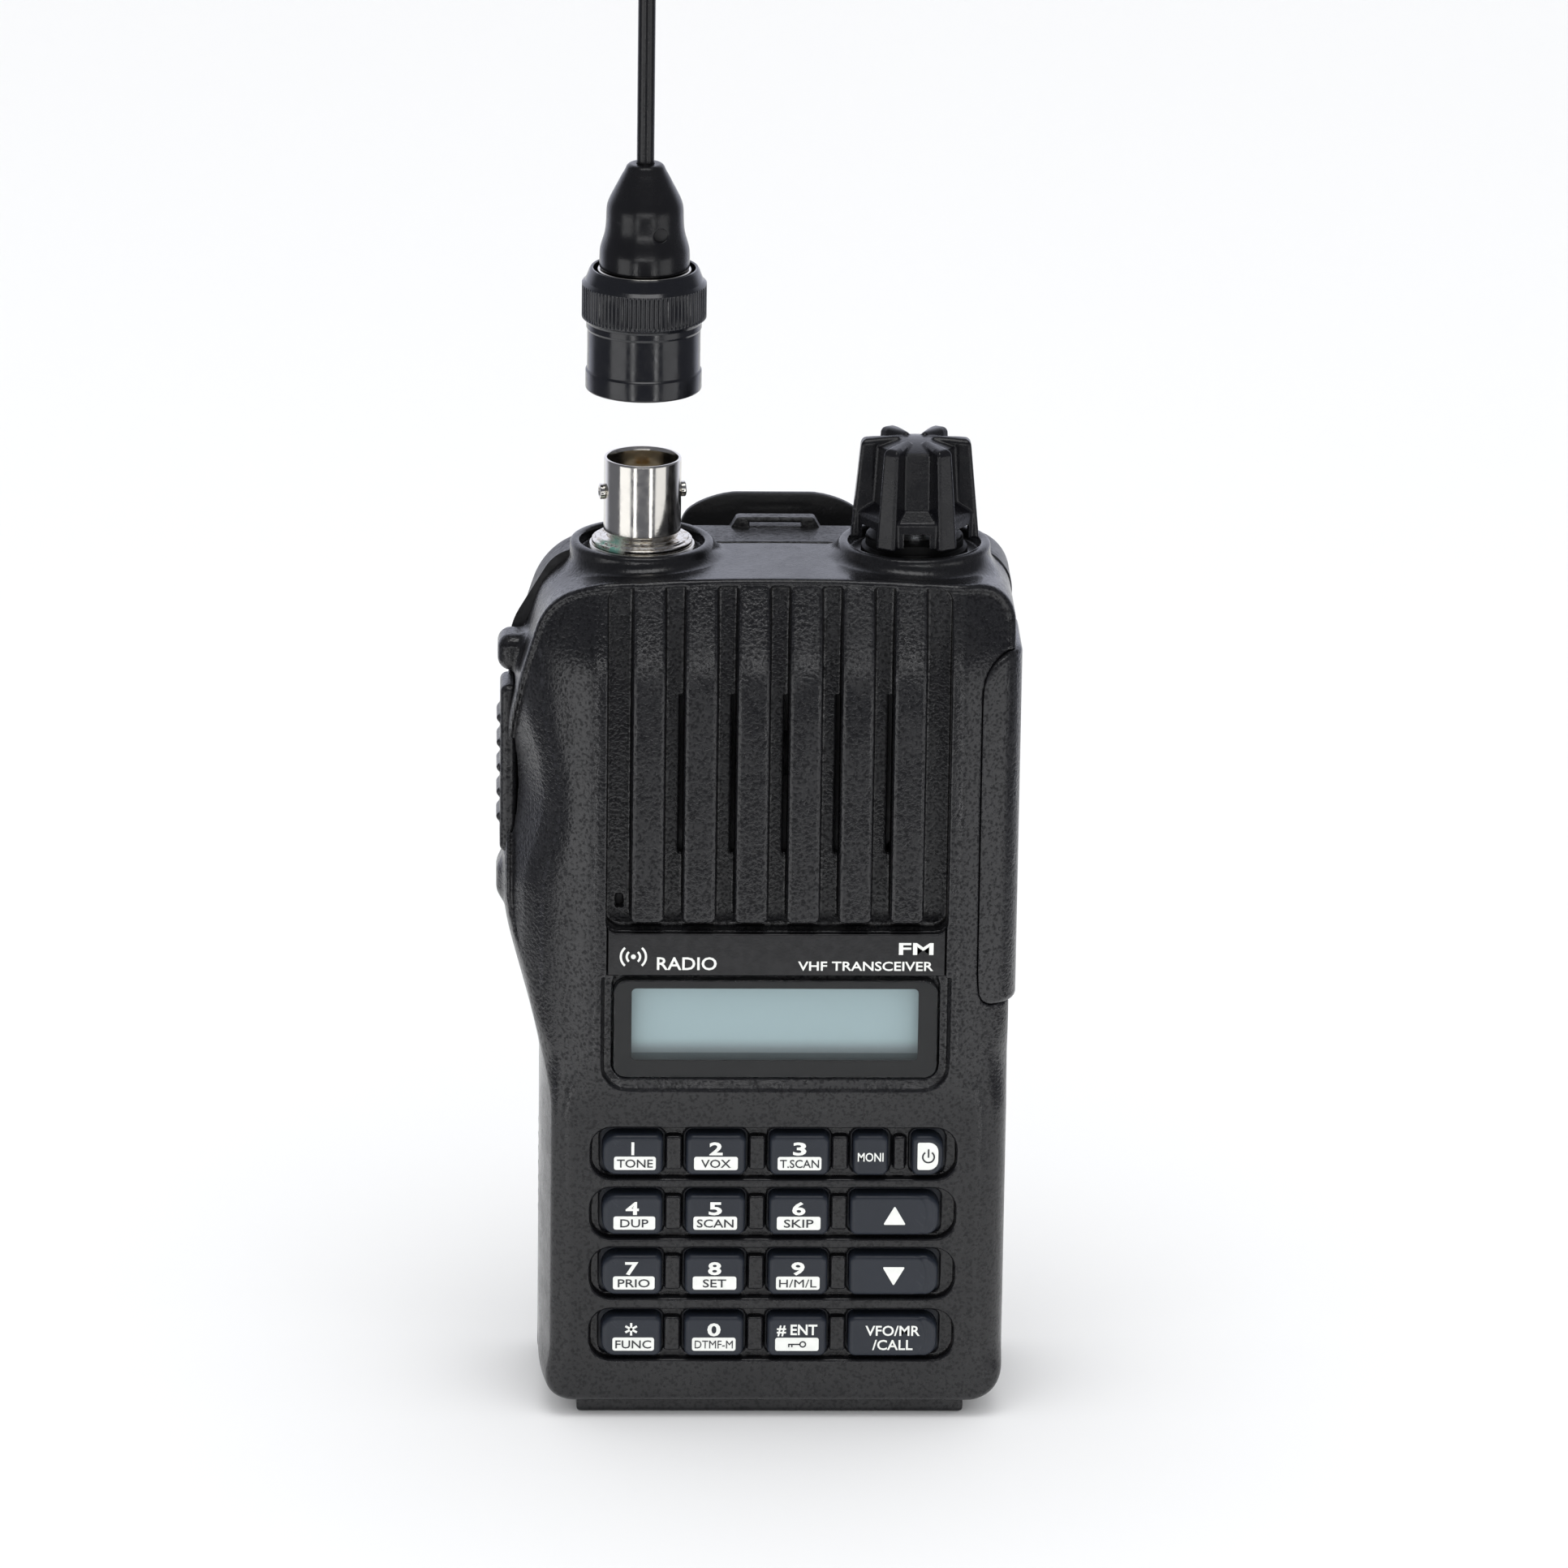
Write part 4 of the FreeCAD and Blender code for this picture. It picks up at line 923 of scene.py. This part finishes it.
def build_key(name):
    """A key's cap, crowned towards its sides, with a ring pressed into the wide ones."""
    low, high = node_box(name)
    front, back = low[1], high[1]
    x0, x1 = low[0] + KEY_FLANGE, high[0] - KEY_FLANGE
    z0, z1 = low[2] + KEY_FLANGE, high[2] - KEY_FLANGE
    wide = x1 - x0 > 9
    left = KEY_END_R if name.endswith("_1") else KEY_R
    right = KEY_END_R if wide or name == "key_power" else KEY_R

    def field(X, Y, Z):
        middle = (x0 + x1) / 2
        cap_left = plate(X, Z, x0, middle + 3, z0, z1, left)
        cap_right = plate(X, Z, middle - 3, x1, z0, z1, right)
        cap = np.where(X < middle, cap_left, cap_right)
        crown = front + 0.07 * np.maximum(np.abs(X - middle) - (x1 - x0) / 2 + 1.2, 0) ** 2 - Y
        if wide:
            dent = np.abs(away(X - x1 + 3.1, (Z - (z0 + z1) / 2) * 0.55) - 1.75) - 0.16
            crown = crown + 0.12 * (1 - ease(dent, -0.1, 0.25)) * (X > x1 - 3.1)
        cap = meet(cap, crown, 0.6)
        cap = both(cap, Y - back + 0.2)
        skirt = plate(X, Z, x0 - 0.55, x1 + 0.55, z0 - 0.55, z1 + 0.55, 1.2)
        return np.minimum(cap, meet(skirt, slab(Y, back - 0.5, back), 0.1))

    moulded("cap_" + name, name, low, high, 0.11, field, "key_plastic", name)
    build_legend(name, x0, x1, z0, z1, front)


def build_legend(name, x0, x1, z0, z1, front):
    """Printing on a key: a digit above a white plate with its second function, or a sign."""
    x, z = (x0 + x1) / 2, (z0 + z1) / 2
    ink = Print("legend_" + name, front, name)
    if name in LEGENDS:
        digit, word, word_width = LEGENDS[name]
        nudge, plate_width = (0.28, 5.35) if name.endswith("_1") else (0.0, 5.6)
        top, foot = z + 1.02, z - 1.02
        if digit == "*":
            for angle in (90, 210, 330):
                a = math.radians(angle)
                dx, dz = 0.85 * math.cos(a), 0.85 * math.sin(a)
                nx, nz = -0.14 * math.sin(a), 0.14 * math.cos(a)
                ink.shape([(x - dx - nx, top - dz - nz), (x + dx - nx, top + dz - nz),
                           (x + dx + nx, top + dz + nz), (x - dx + nx, top - dz + nz)], INK, 0.05)
        elif digit == "# ENT":
            ink.text(digit, x, top, 1.45, INK, bold=0.022, width=5.2)
        else:
            ink.text(digit, x, top, 1.72, INK, bold=0.028, width=None if digit == "1" else 1.7)
        ink.pad(x + nudge, foot, plate_width, 1.8, 0.3, INK, 0.03)
        if word:
            bold = 0.0 if "M" in word else 0.007      # a bolder M fills up
            ink.text(word, x + nudge, foot, 1.13, DARK_INK, 0.07, word_width, bold)
        else:
            ink.arc(x + 0.75, foot, 0.36, 0.17, 0, 359, DARK_INK, 0.07)
            ink.pad(x - 0.35, foot, 1.55, 0.17, 0.02, DARK_INK, 0.07)
            for offset in (-1.05, -0.65):
                ink.pad(x + offset, foot - 0.18, 0.17, 0.4, 0.02, DARK_INK, 0.075)
    elif name == "key_monitor":
        ink.text("MONI", x, z - 0.1, 1.2, INK, bold=0.012, width=3.3)
    elif name == "key_power":
        ink.shape(soften([(x - 1.3, z - 1.85, 0.25), (x + 1.35, z - 1.85, 1.2), (x + 1.35, z + 1.85, 1.2),
                          (x - 1.3, z + 1.85, 0.25)]), INK, 0.03)
        ink.arc(x + 0.1, z - 0.1, 0.74, 0.2, 125, 415, DARK_INK, 0.07)
        ink.pad(x + 0.1, z + 0.4, 0.2, 1.15, 0.05, DARK_INK, 0.075)
    elif name in ("key_up", "key_down"):
        up = 1 if name == "key_up" else -1
        arrow = [(x - 1.45, z - 1.2 * up, 0.12), (x + 1.45, z - 1.2 * up, 0.12), (x, z + 1.35 * up, 0.12)]
        ink.shape(soften(arrow), INK)
    else:
        ink.text("VFO/MR", x, z + 0.9, 1.4, INK, bold=0.014, width=7.0)
        ink.text("/CALL", x, z - 1.05, 1.4, INK, bold=0.014, width=5.2)
    ink.finish("key_plastic")


# ---- knob and talk button
def build_knob():
    """Six ribs that lean in towards the crown, round a core."""
    low, high = node_box("volume_knob")
    base, top = low[2], high[2]
    crown = top - 0.35

    def field(X, Y, Z):
        rho = away(X - KNOB_X, Y)
        angle = np.arctan2(Y, X - KNOB_X)
        sector = math.pi / 3
        turn = np.mod(angle - math.pi / 2, sector) - sector / 2
        u, v = rho * np.cos(turn), rho * np.sin(turn)
        climb = (Z - base) / (crown - base)
        thick = 0.5 + (0.85 - 0.3 * climb) * np.clip((u - 1.9) / 3.6, 0, 1)
        rib = meet(np.abs(v) - thick, u - (8.15 - 1.25 * climb), 0.45)
        rib = meet(rib, Z - crown + 0.012 * (u - 2) ** 2, 0.75)
        rib = meet(rib, 1.95 - u, 0.4)
        floor_u = rho * np.cos(np.mod(angle + math.pi / 6 - math.pi / 2, sector) - sector / 2)
        core = meet(floor_u - (5.5 - 0.9 * climb), Z - (crown - 0.28 - 0.036 * rho * rho), 0.18)
        ledge = (floor_u - 6.35) * 0.6 + (Z - 118.5) * 0.8
        skirt = meet(meet(rho - 7.45, ledge, 0.12), floor_u - 6.9, 0.3)
        body = join(join(core, skirt, 0.12), rib, 0.25)
        body = meet(body, base - Z, 0.3)
        under = both(rho - 7.0, Z - base - 2.0)
        body = carve(body, under, 0.15)
        return cut(body, both(rho - 3.04, Z - 124.7))

    low, high = (KNOB_X - 8.3, -8.3, base), (KNOB_X + 8.3, 8.3, top + 0.2)
    moulded("knob_cap", "knob", low, high, 0.12, field, "knob_plastic", "volume_knob")


def build_talk_button():
    low, high = node_box("talk_button")

    def field(X, Y, Z):
        pad = block(X, Y, Z, (-35.2, low[1], low[2]), (-33.0, high[1], high[2]), 0.95)
        middle = (low[2] + high[2]) / 2
        for step in (-2, -1, 0, 1, 2):
            ridge = away(X + 35.05, Z - middle - 3.3 * step) - 0.6
            pad = join(pad, meet(ridge, slab(Y, low[1] + 1, high[1] - 1), 0.3), 0.3)
        return np.minimum(pad, block(X, Y, Z, (-33.6, -1.6, middle - 1.5), (high[0], 1.6, middle + 1.5), 0.2))

    moulded("talk_pad", "talk_button", low, high, 0.16, field, "cover_rubber", "talk_button")


def build_socket_cover():
    def field(X, Y, Z):
        body = cover_field(X, Y, Z)
        for z, r in SOCKETS:
            plug = away(Y + 4, Z - z) - r
            body = np.minimum(body, meet(plug, slab(X, 28.0, 29.4), 0.3))
        return body

    moulded("side_cover", "socket_cover", COVER_LOW, COVER_HIGH, 0.26, field, "cover_rubber", "socket_cover")


# ---- aerial jack
LUG_TURN = 8.0             # degrees the bayonet lugs stand off the X axis


def build_jack():
    """The jack's barrel with its two bayonet lugs, the parts inside and under it, and the knob's collar."""
    centre = (JACK_X, 0.0)
    foot = [(4.1, 106.2, 0), (4.6, 106.2, 0), (4.6, 113.75, 0)]
    flange = [(6.4, 113.75, 0.1), (6.4, 114.3, 0.18), (5.95, 114.36, 0.08), (5.85, 114.6, 0.1),
              (5.35, 114.6, 0.1), (5.25, 114.44, 0.06), (4.95, 114.44, 0.1), (4.5, 114.6, 0.1),
              (4.5, 115.0, 0.2)]
    barrel = [(4.92, 115.5, 0.3), (4.92, 124.75, 0.2), (4.82, 124.98, 0.1)]
    bore = [(4.55, 124.95, 0.1), (4.45, 124.5, 0.2), (4.4, 117.0, 0.2), (4.1, 116.6, 0.1)]
    parts = [lathe(foot + flange + barrel + bore, centre, 160)]
    lug = [(0.0, 0.0, 0), (0.86, 0.0, 0), (0.86, 0.45, 0.05), (1.0, 0.5, 0.04), (1.0, 1.05, 0.15),
           (0.72, 1.15, 0.1), (0.62, 1.02, 0.08), (0.0, 1.02, 0)]
    for sign in (1, -1):
        points, quads = lathe(lug, (0.0, 0.0), 40)
        turn = math.radians(LUG_TURN)
        along = np.array([math.cos(turn) * sign, math.sin(turn) * sign, 0.0])
        across = np.array([-along[1], along[0], 0.0])
        root = np.array([JACK_X, 0.0, 120.55]) + along * 4.42
        up = np.array([0, 0, 1.0])
        parts.append((root + points[:, 2:] * along + points[:, :1] * across + points[:, 1:2] * up, quads))
    vertices = np.concatenate([part[0] for part in parts])
    shift = np.cumsum([0] + [len(part[0]) for part in parts[:-1]])
    faces = np.concatenate([part[1] + start for part, start in zip(parts, shift)])
    revolved("jack_barrel", "radio", vertices, faces, "jack_nickel", "jack_shell", "nickel")
    insulator = [(1.0, 106.4, 0), (4.05, 106.4, 0), (4.05, 116.0, 0.2), (2.4, 116.1, 0.1), (2.4, 121.8, 0.3),
                 (1.0, 121.8, 0.2)]
    turned("jack_insulator_core", "radio", insulator, centre, "ptfe", "jack_insulator")
    washer = [(4.8, 112.62, 0), (6.9, 112.62, 0.1), (6.9, 113.4, 0.15), (6.65, 113.73, 0.12),
              (4.8, 113.73, 0)]
    turned("jack_washer_ring", "radio", washer, centre, "nickel", "jack_washer")
    nut = [(3.55, 112.6, 0), (6.8, 112.6, 0.1), (6.8, 113.5, 0.25), (6.2, 113.7, 0.15), (6.2, 115.0, 0.35),
           (3.55, 115.0, 0.1)]
    turned("control_collar", "radio", nut, (KNOB_X, 0.0), "control_black", "control_nut")


# ---- aerial
RING_SEAT = 115.5          # height of the coupling ring's foot with the aerial seated
LIFT = float(node_box("coupling_ring")[0][2]) - RING_SEAT   # how far the aerial is drawn off the jack
KNURLS = 84


def raised(corners):
    """Corners given for the seated aerial, carried up to where it is."""
    return [(radius, height + LIFT, rounding) for radius, height, rounding in corners]


def ring_ripple(radius, height, angle):
    """Straight knurl outside, and two entry slots for the lugs in the lip inside."""
    z = height - LIFT
    knurl = (radius > 7.7) & (z > 125.2) & (z < 129.1)
    wave = 0.5 + 0.5 * np.cos(angle * KNURLS)
    lip = (radius < 5.3) & (z < 117.5)
    off = np.abs(np.mod(angle - math.radians(LUG_TURN) + math.pi / 2, math.pi) - math.pi / 2)
    return np.where(knurl, -0.2 * wave ** 2, 0.0) + np.where(lip & (off < math.radians(15)), 0.8, 0.0)


def build_aerial():
    centre = (JACK_X, 0.0)
    skirt = [(5.0, RING_SEAT, 0.15), (7.35, RING_SEAT, 0.3), (7.35, 118.0, 0.25), (7.15, 118.2, 0.1),
             (7.15, 123.3, 0.2), (7.3, 123.6, 0.15), (7.3, 124.3, 0.2), (7.45, 124.6, 0.1)]
    knurl = [(7.88, 124.9, 0.1), (7.88, 125.4, 0.0), (7.88, 129.0, 0.0), (7.88, 129.3, 0.05),
             (7.45, 129.7, 0.2), (6.95, 131.0, 0.3), (6.75, 131.3, 0.15), (6.45, 131.25, 0.1)]
    inside = [(6.32, 129.6, 0.2), (5.3, 129.4, 0.1), (5.3, 124.9, 0.1), (5.0, 124.7, 0.1), (5.0, 122.3, 0.1),
              (5.85, 122.1, 0.1), (5.85, 117.3, 0.1), (5.0, 117.2, 0.1)]
    ring = raised(skirt + knurl + inside)
    turned("bayonet_ring", "coupling_ring", ring, centre, "plug_black", "coupling_ring",
           segments=6 * KNURLS, ripple=ring_ripple)
    sleeve = [(2.6, 117.0, 0.1), (3.9, 117.0, 0.2), (3.9, 125.2, 0.1), (5.2, 125.3, 0.1),
              (5.2, 130.2, 0.1), (5.95, 130.25, 0.1), (5.95, 131.15, 0.2), (4.6, 131.2, 0.1),
              (4.6, 133.0, 0.1), (2.6, 133.0, 0.1)]
    turned("plug_sleeve", "antenna", raised(sleeve), centre, "nickel", "plug_body")
    low, high = node_box("antenna_boot")
    profile = np.array([(130.0, 5.7), (133.2, 5.7), (134.1, 5.6), (134.8, 5.33), (136.1, 4.98),
                        (137.5, 4.88), (139.2, 4.85), (139.9, 4.67), (141.1, 4.08), (142.35, 3.42),
                        (143.6, 2.8), (144.3, 2.3)])       # height and radius
    heights, radii = profile[:, 0] + LIFT, profile[:, 1]

    def boot(X, Y, Z):
        rho = away(X - JACK_X, Y)
        wall = sum(np.interp(Z, heights + shift, radii) for shift in (-0.6, -0.3, 0, 0.3, 0.6)) / 5
        body = meet(meet((rho - wall) * 0.93, Z - high[2], 0.5), low[2] - Z, 0.25)
        body = both(body, 1.13 - rho)
        body = cut(body, both(rho - 4.65, Z - 133.05 - LIFT))
        hole = away(X - JACK_X - 1.9, Z - 136.5 - LIFT) - 0.85
        return carve(body, both(hole, Y + 2.6), 0.14)

    moulded("boot_moulding", "antenna", low, high, 0.11, boot, "whip_black", "antenna_boot")
    tip = float(node_box("antenna_whip")[1][2])
    whip = [(0.0, 136.05 + LIFT, 0), (1.1, 136.05 + LIFT, 0.1), (1.1, tip - 3.4, 1.2), (1.72, tip - 2.4, 0.9),
            (1.72, tip - 0.7, 0.9), (1.1, tip, 0.5), (0.0, tip, 0)]
    turned("whip_rod", "antenna", whip, centre, "whip_black", "antenna_whip", segments=48)


# ---- battery and belt clip
def build_battery():
    low, high = node_box("battery_cover")
    top = 86.5

    def field(X, Y, Z):
        body = meet(meet(np.abs(X) - 29.4, Y - 15.2, 4.0), -Z, 2.2)
        body = meet(body, (Z - top) * 0.919 + (Y - 5.4) * 0.394, 1.4)
        hollow = meet(np.abs(X) - 28.1, both(Y - 13.9, 8.0 - Y), 2)
        hollow = both(hollow, 1.3 - Z, Z - 84.0 + 0.43 * (Y - 5.4))
        body = cut(body, hollow)
        for z in range(20, 34, 2):
            ridge = away(np.abs(X) - 29.25, Z - z) - 0.62
            body = join(body, meet(ridge, slab(Y, 8.6, 11.4), 0.3), 0.6)
        panel = both(plate(X, Z, -21, 21, 14, 62, 2.5), 14.85 - Y)
        body = carve(body, panel, 0.25)
        for z in (67, 70, 73):
            body = join(body, meet(away(Y - 15.0, Z - z) - 0.55, np.abs(X) - 14, 0.5), 0.3)
        body = both(body, 8.02 - Y)
        return cut(body, both(np.abs(X) - 9.3, Z - 2.6))

    back = (high[0], high[1] + 0.5, high[2])
    moulded("battery_back", "battery", low, back, 0.3, field, "battery_plastic", "battery_cover")


def build_clip():
    low, high = node_box("clip_lever")

    def field(X, Y, Z):
        front = 19.5 + 0.12 * ramp(Z - 103, 3) - 0.11 * ramp(52 - Z, 2)
        back = 21.2 + 0.094 * ramp(Z - 104, 3) - 0.12 * ramp(50 - Z, 2)
        side = np.abs(X) - (9 + 0.061 * ramp(Z - 60, 4) - 0.1 * ramp(60 - Z, 4))
        shoulder = (np.abs(X) - 7.6) * 0.534 + (Z - high[2]) * 0.846
        face = meet(meet(meet(side, shoulder, 1.6), Z - high[2], 1.6), low[2] - Z, 4)
        body = meet(face, both(front - Y, Y - back), 0.35)
        groove = both(plate(X, Z, -5.5, 5.5, 62, 88, 1.5), 20.85 - Y)
        body = carve(body, groove, 0.2)
        for x in (-6.3, 3.4):
            lug = join(away(Y - 17.4, Z - 101) - 2.0,
                       both(slab(Y, 17.4, 20.2), np.abs(Z - 101) - 2.6), 0.5)
            body = np.minimum(body, meet(lug, slab(X, x, x + 2.9), 0.2))
        return cut(body, away(Y - 17.4, Z - 101) - 1.06)

    back = (high[0], high[1] + 0.2, high[2])
    moulded("clip_spring_plate", "belt_clip", low, back, 0.2, field, "clip_plastic", "clip_lever")


# ---- the rest of the CAD nodes
def dress_frame():
    """Finishes for the nodes that keep their CAD shape, with eased edges."""
    for name, node in NODES.items():
        if node.hide_render:
            continue
        node.data.materials.clear()
        node.data.materials.append(FINISHES[FINISH_OF.get(name, "component_black")])
        bevel = node.modifiers.new("eased_edges", "BEVEL")
        bevel.width = 0.12 * MM
        bevel.segments = 2
        bevel.limit_method = "ANGLE"
        bevel.angle_limit = math.radians(35)


FINISH_OF = {node: finish for finish, nodes in {
    "seal_rubber": ("case_gasket", "keypad_sheet"),
    "steel": ("case_screws", "volume_control", "control_shaft", "clip_screws", "clip_pin", "clip_spring"),
    "circuit_board": ("logic_board", "rf_board"),
    "contact_gold": ("jack_contact", "plug_pin", "battery_terminals", "battery_contacts"),
    "nickel": ("jack_nut",),
    "battery_plastic": ("battery_shell", "battery_latch"),
    "clip_plastic": ("clip_plate",),
}.items() for node in nodes}


# ---- studio
def softbox(name, place, target, width, tall, power):
    """A rectangular lamp at a place, looking at the target."""
    light = bpy.data.lights.new(name, "AREA")
    light.shape = "RECTANGLE"
    light.size, light.size_y = width, tall
    light.energy = power
    holder = link_object(name, light)
    holder.location = place
    direction = Vector(target) - holder.location
    holder.rotation_euler = direction.to_track_quat("-Z", "Y").to_euler()


def sheet(name, rows):
    """A strip of the backdrop's paper through (y, z, half width) rows, in metres."""
    mesh = bpy.data.meshes.new(name)
    points = [(x * half, y, z) for y, z, half in rows for x in (-1, 1)]
    mesh.from_pydata(points, [], [(2 * i, 2 * i + 1, 2 * i + 3, 2 * i + 2) for i in range(len(rows) - 1)])
    for polygon in mesh.polygons:
        polygon.use_smooth = True
    mesh.materials.append(FINISHES["backdrop_paper"])
    piece = link_object(name, mesh)
    return piece


def build_backdrop():
    """Pale floor that curves up far behind the object.

    Glossy surfaces see only a narrow sheet of it, as if the studio's paper ended near the object.
    """
    r = Recipe("backdrop_paper")
    tone = r.mix(r.times(r.noise(400, 3), 0.3), (0.9, 0.905, 0.915, 1), (0.87, 0.875, 0.89, 1))
    r.set(Base_Color=tone, Roughness=0.9, Specular_IOR_Level=0.1, Normal=r.bump(r.noise(1.2, 2), 0.01))
    half, start, bend = 3.5, 1.6, 1.2       # half width, Y where the floor ends, and radius of the curve
    curve = [(start + bend * math.sin(a), bend - bend * math.cos(a), half)
             for a in np.radians(np.arange(7.5, 90, 7.5))]
    flat = [(-half, 0.0, half), (start, 0.0, half)]
    wall = [(start + bend, bend, half), (start + bend, half, half)]
    floor = sheet("floor", flat + curve + wall)
    floor.visible_glossy = False
    floor.visible_shadow = False
    rise = 1e-5
    narrow = [(-0.23, rise, 0.07), (-0.09, rise, 0.07), (-0.089, rise, 0.17), (start, rise, 0.5)]
    near = sheet("near_paper", narrow)
    near.visible_camera = False
    near.visible_diffuse = False
    near.visible_shadow = False
    near.visible_transmission = False


STUDIO_FILL = 1.0          # light of the white studio on matt surfaces
STUDIO_BACK = 1.1          # how bright its far wall looks in glossy surfaces
STUDIO_FRONT = 0.16        # and the dim room on the camera's side
ROOM_TURN = (0.4, 0.8)     # the directions' Y over which the one passes into the other
STUDIO_COOL = (0.94, 0.97, 1.12, 1.0)   # colour of the room in glossy surfaces


def build_world():
    """Even white fill; in reflections the room on the camera's side is dim."""
    world = bpy.data.worlds.new("studio")
    world.use_nodes = True
    n = Nodes(world.node_tree)
    background = n.tree.nodes["Background"]
    split = n.add("SeparateXYZ")
    n.link(n.add("TexCoord").outputs["Generated"], split.inputs[0])
    room = n.span(split.outputs["Y"], *ROOM_TURN, STUDIO_FRONT, STUDIO_BACK)
    rays = n.add("LightPath").outputs
    mirrored = n.math("MAXIMUM", rays["Is Glossy Ray"], rays["Is Transmission Ray"])
    n.link(n.mix(mirrored, (1.0, 1.0, 1.0, 1.0), STUDIO_COOL), background.inputs["Color"])
    n.link(n.span(mirrored, 0.0, 1.0, STUDIO_FILL, room), background.inputs["Strength"])
    bpy.context.scene.world = world


CAMERA_TARGET = Vector((0.75, -12.0, 85.3)) * MM
CAMERA_AWAY = 1.3          # metres from the target
CAMERA_TURN = tuple(math.radians(angle) for angle in (2.0, 18.0, 0.8))   # yaw, pitch and roll


def build_camera():
    """A long lens in front of the radio, a little above it."""
    data = bpy.data.cameras.new("camera")
    data.lens = 235.5
    data.sensor_width = 36
    data.clip_end = 20
    camera = link_object("camera", data)
    yaw, pitch, roll = CAMERA_TURN
    look = Vector((math.sin(yaw) * math.cos(pitch), math.cos(yaw) * math.cos(pitch), -math.sin(pitch)))
    camera.location = CAMERA_TARGET - look * CAMERA_AWAY
    turn = look.to_track_quat("-Z", "Y").to_matrix() @ Matrix.Rotation(roll, 3, "Z")
    camera.rotation_euler = turn.to_euler()
    bpy.context.scene.camera = camera


moulded("front_shell", "radio", *node_box("front_case"), 0.27, front_case_field, "case_plastic", "front_case")
moulded("rear_frame", "radio", *node_box("rear_chassis"), 0.33, rear_chassis_field, "chassis_paint",
        "rear_chassis")
build_eyelet()
build_strip()
build_window()
build_display()
for key_name in KEYS:
    build_key(key_name)
build_knob()
build_talk_button()
build_socket_cover()
build_jack()
build_aerial()
build_battery()
build_clip()
dress_frame()
build_backdrop()
build_world()
build_camera()
# lamps: place and target, then width, height and power
softbox("top_box", (0.0, -0.3, 1.0), (0, 0, 0.06), 0.6, 0.4, 2.0)
softbox("front_strip", (0.0, -1.1, 0.2), (0, 0, 0.1), 1.0, 0.08, 1.2)
for side, label, power in ((-1, "left", 2.6), (1, "right", 2.0)):
    softbox(label + "_box", (side * 1.05, -0.75, -0.3), (0, 0, 0.08), 0.8, 0.8, power)
    softbox(label + "_line", (side * 0.5, -1.15, -0.35), (0, 0, 0.08), 0.12, 0.6, 0.9)
bpy.context.scene.view_settings.view_transform = "Standard"
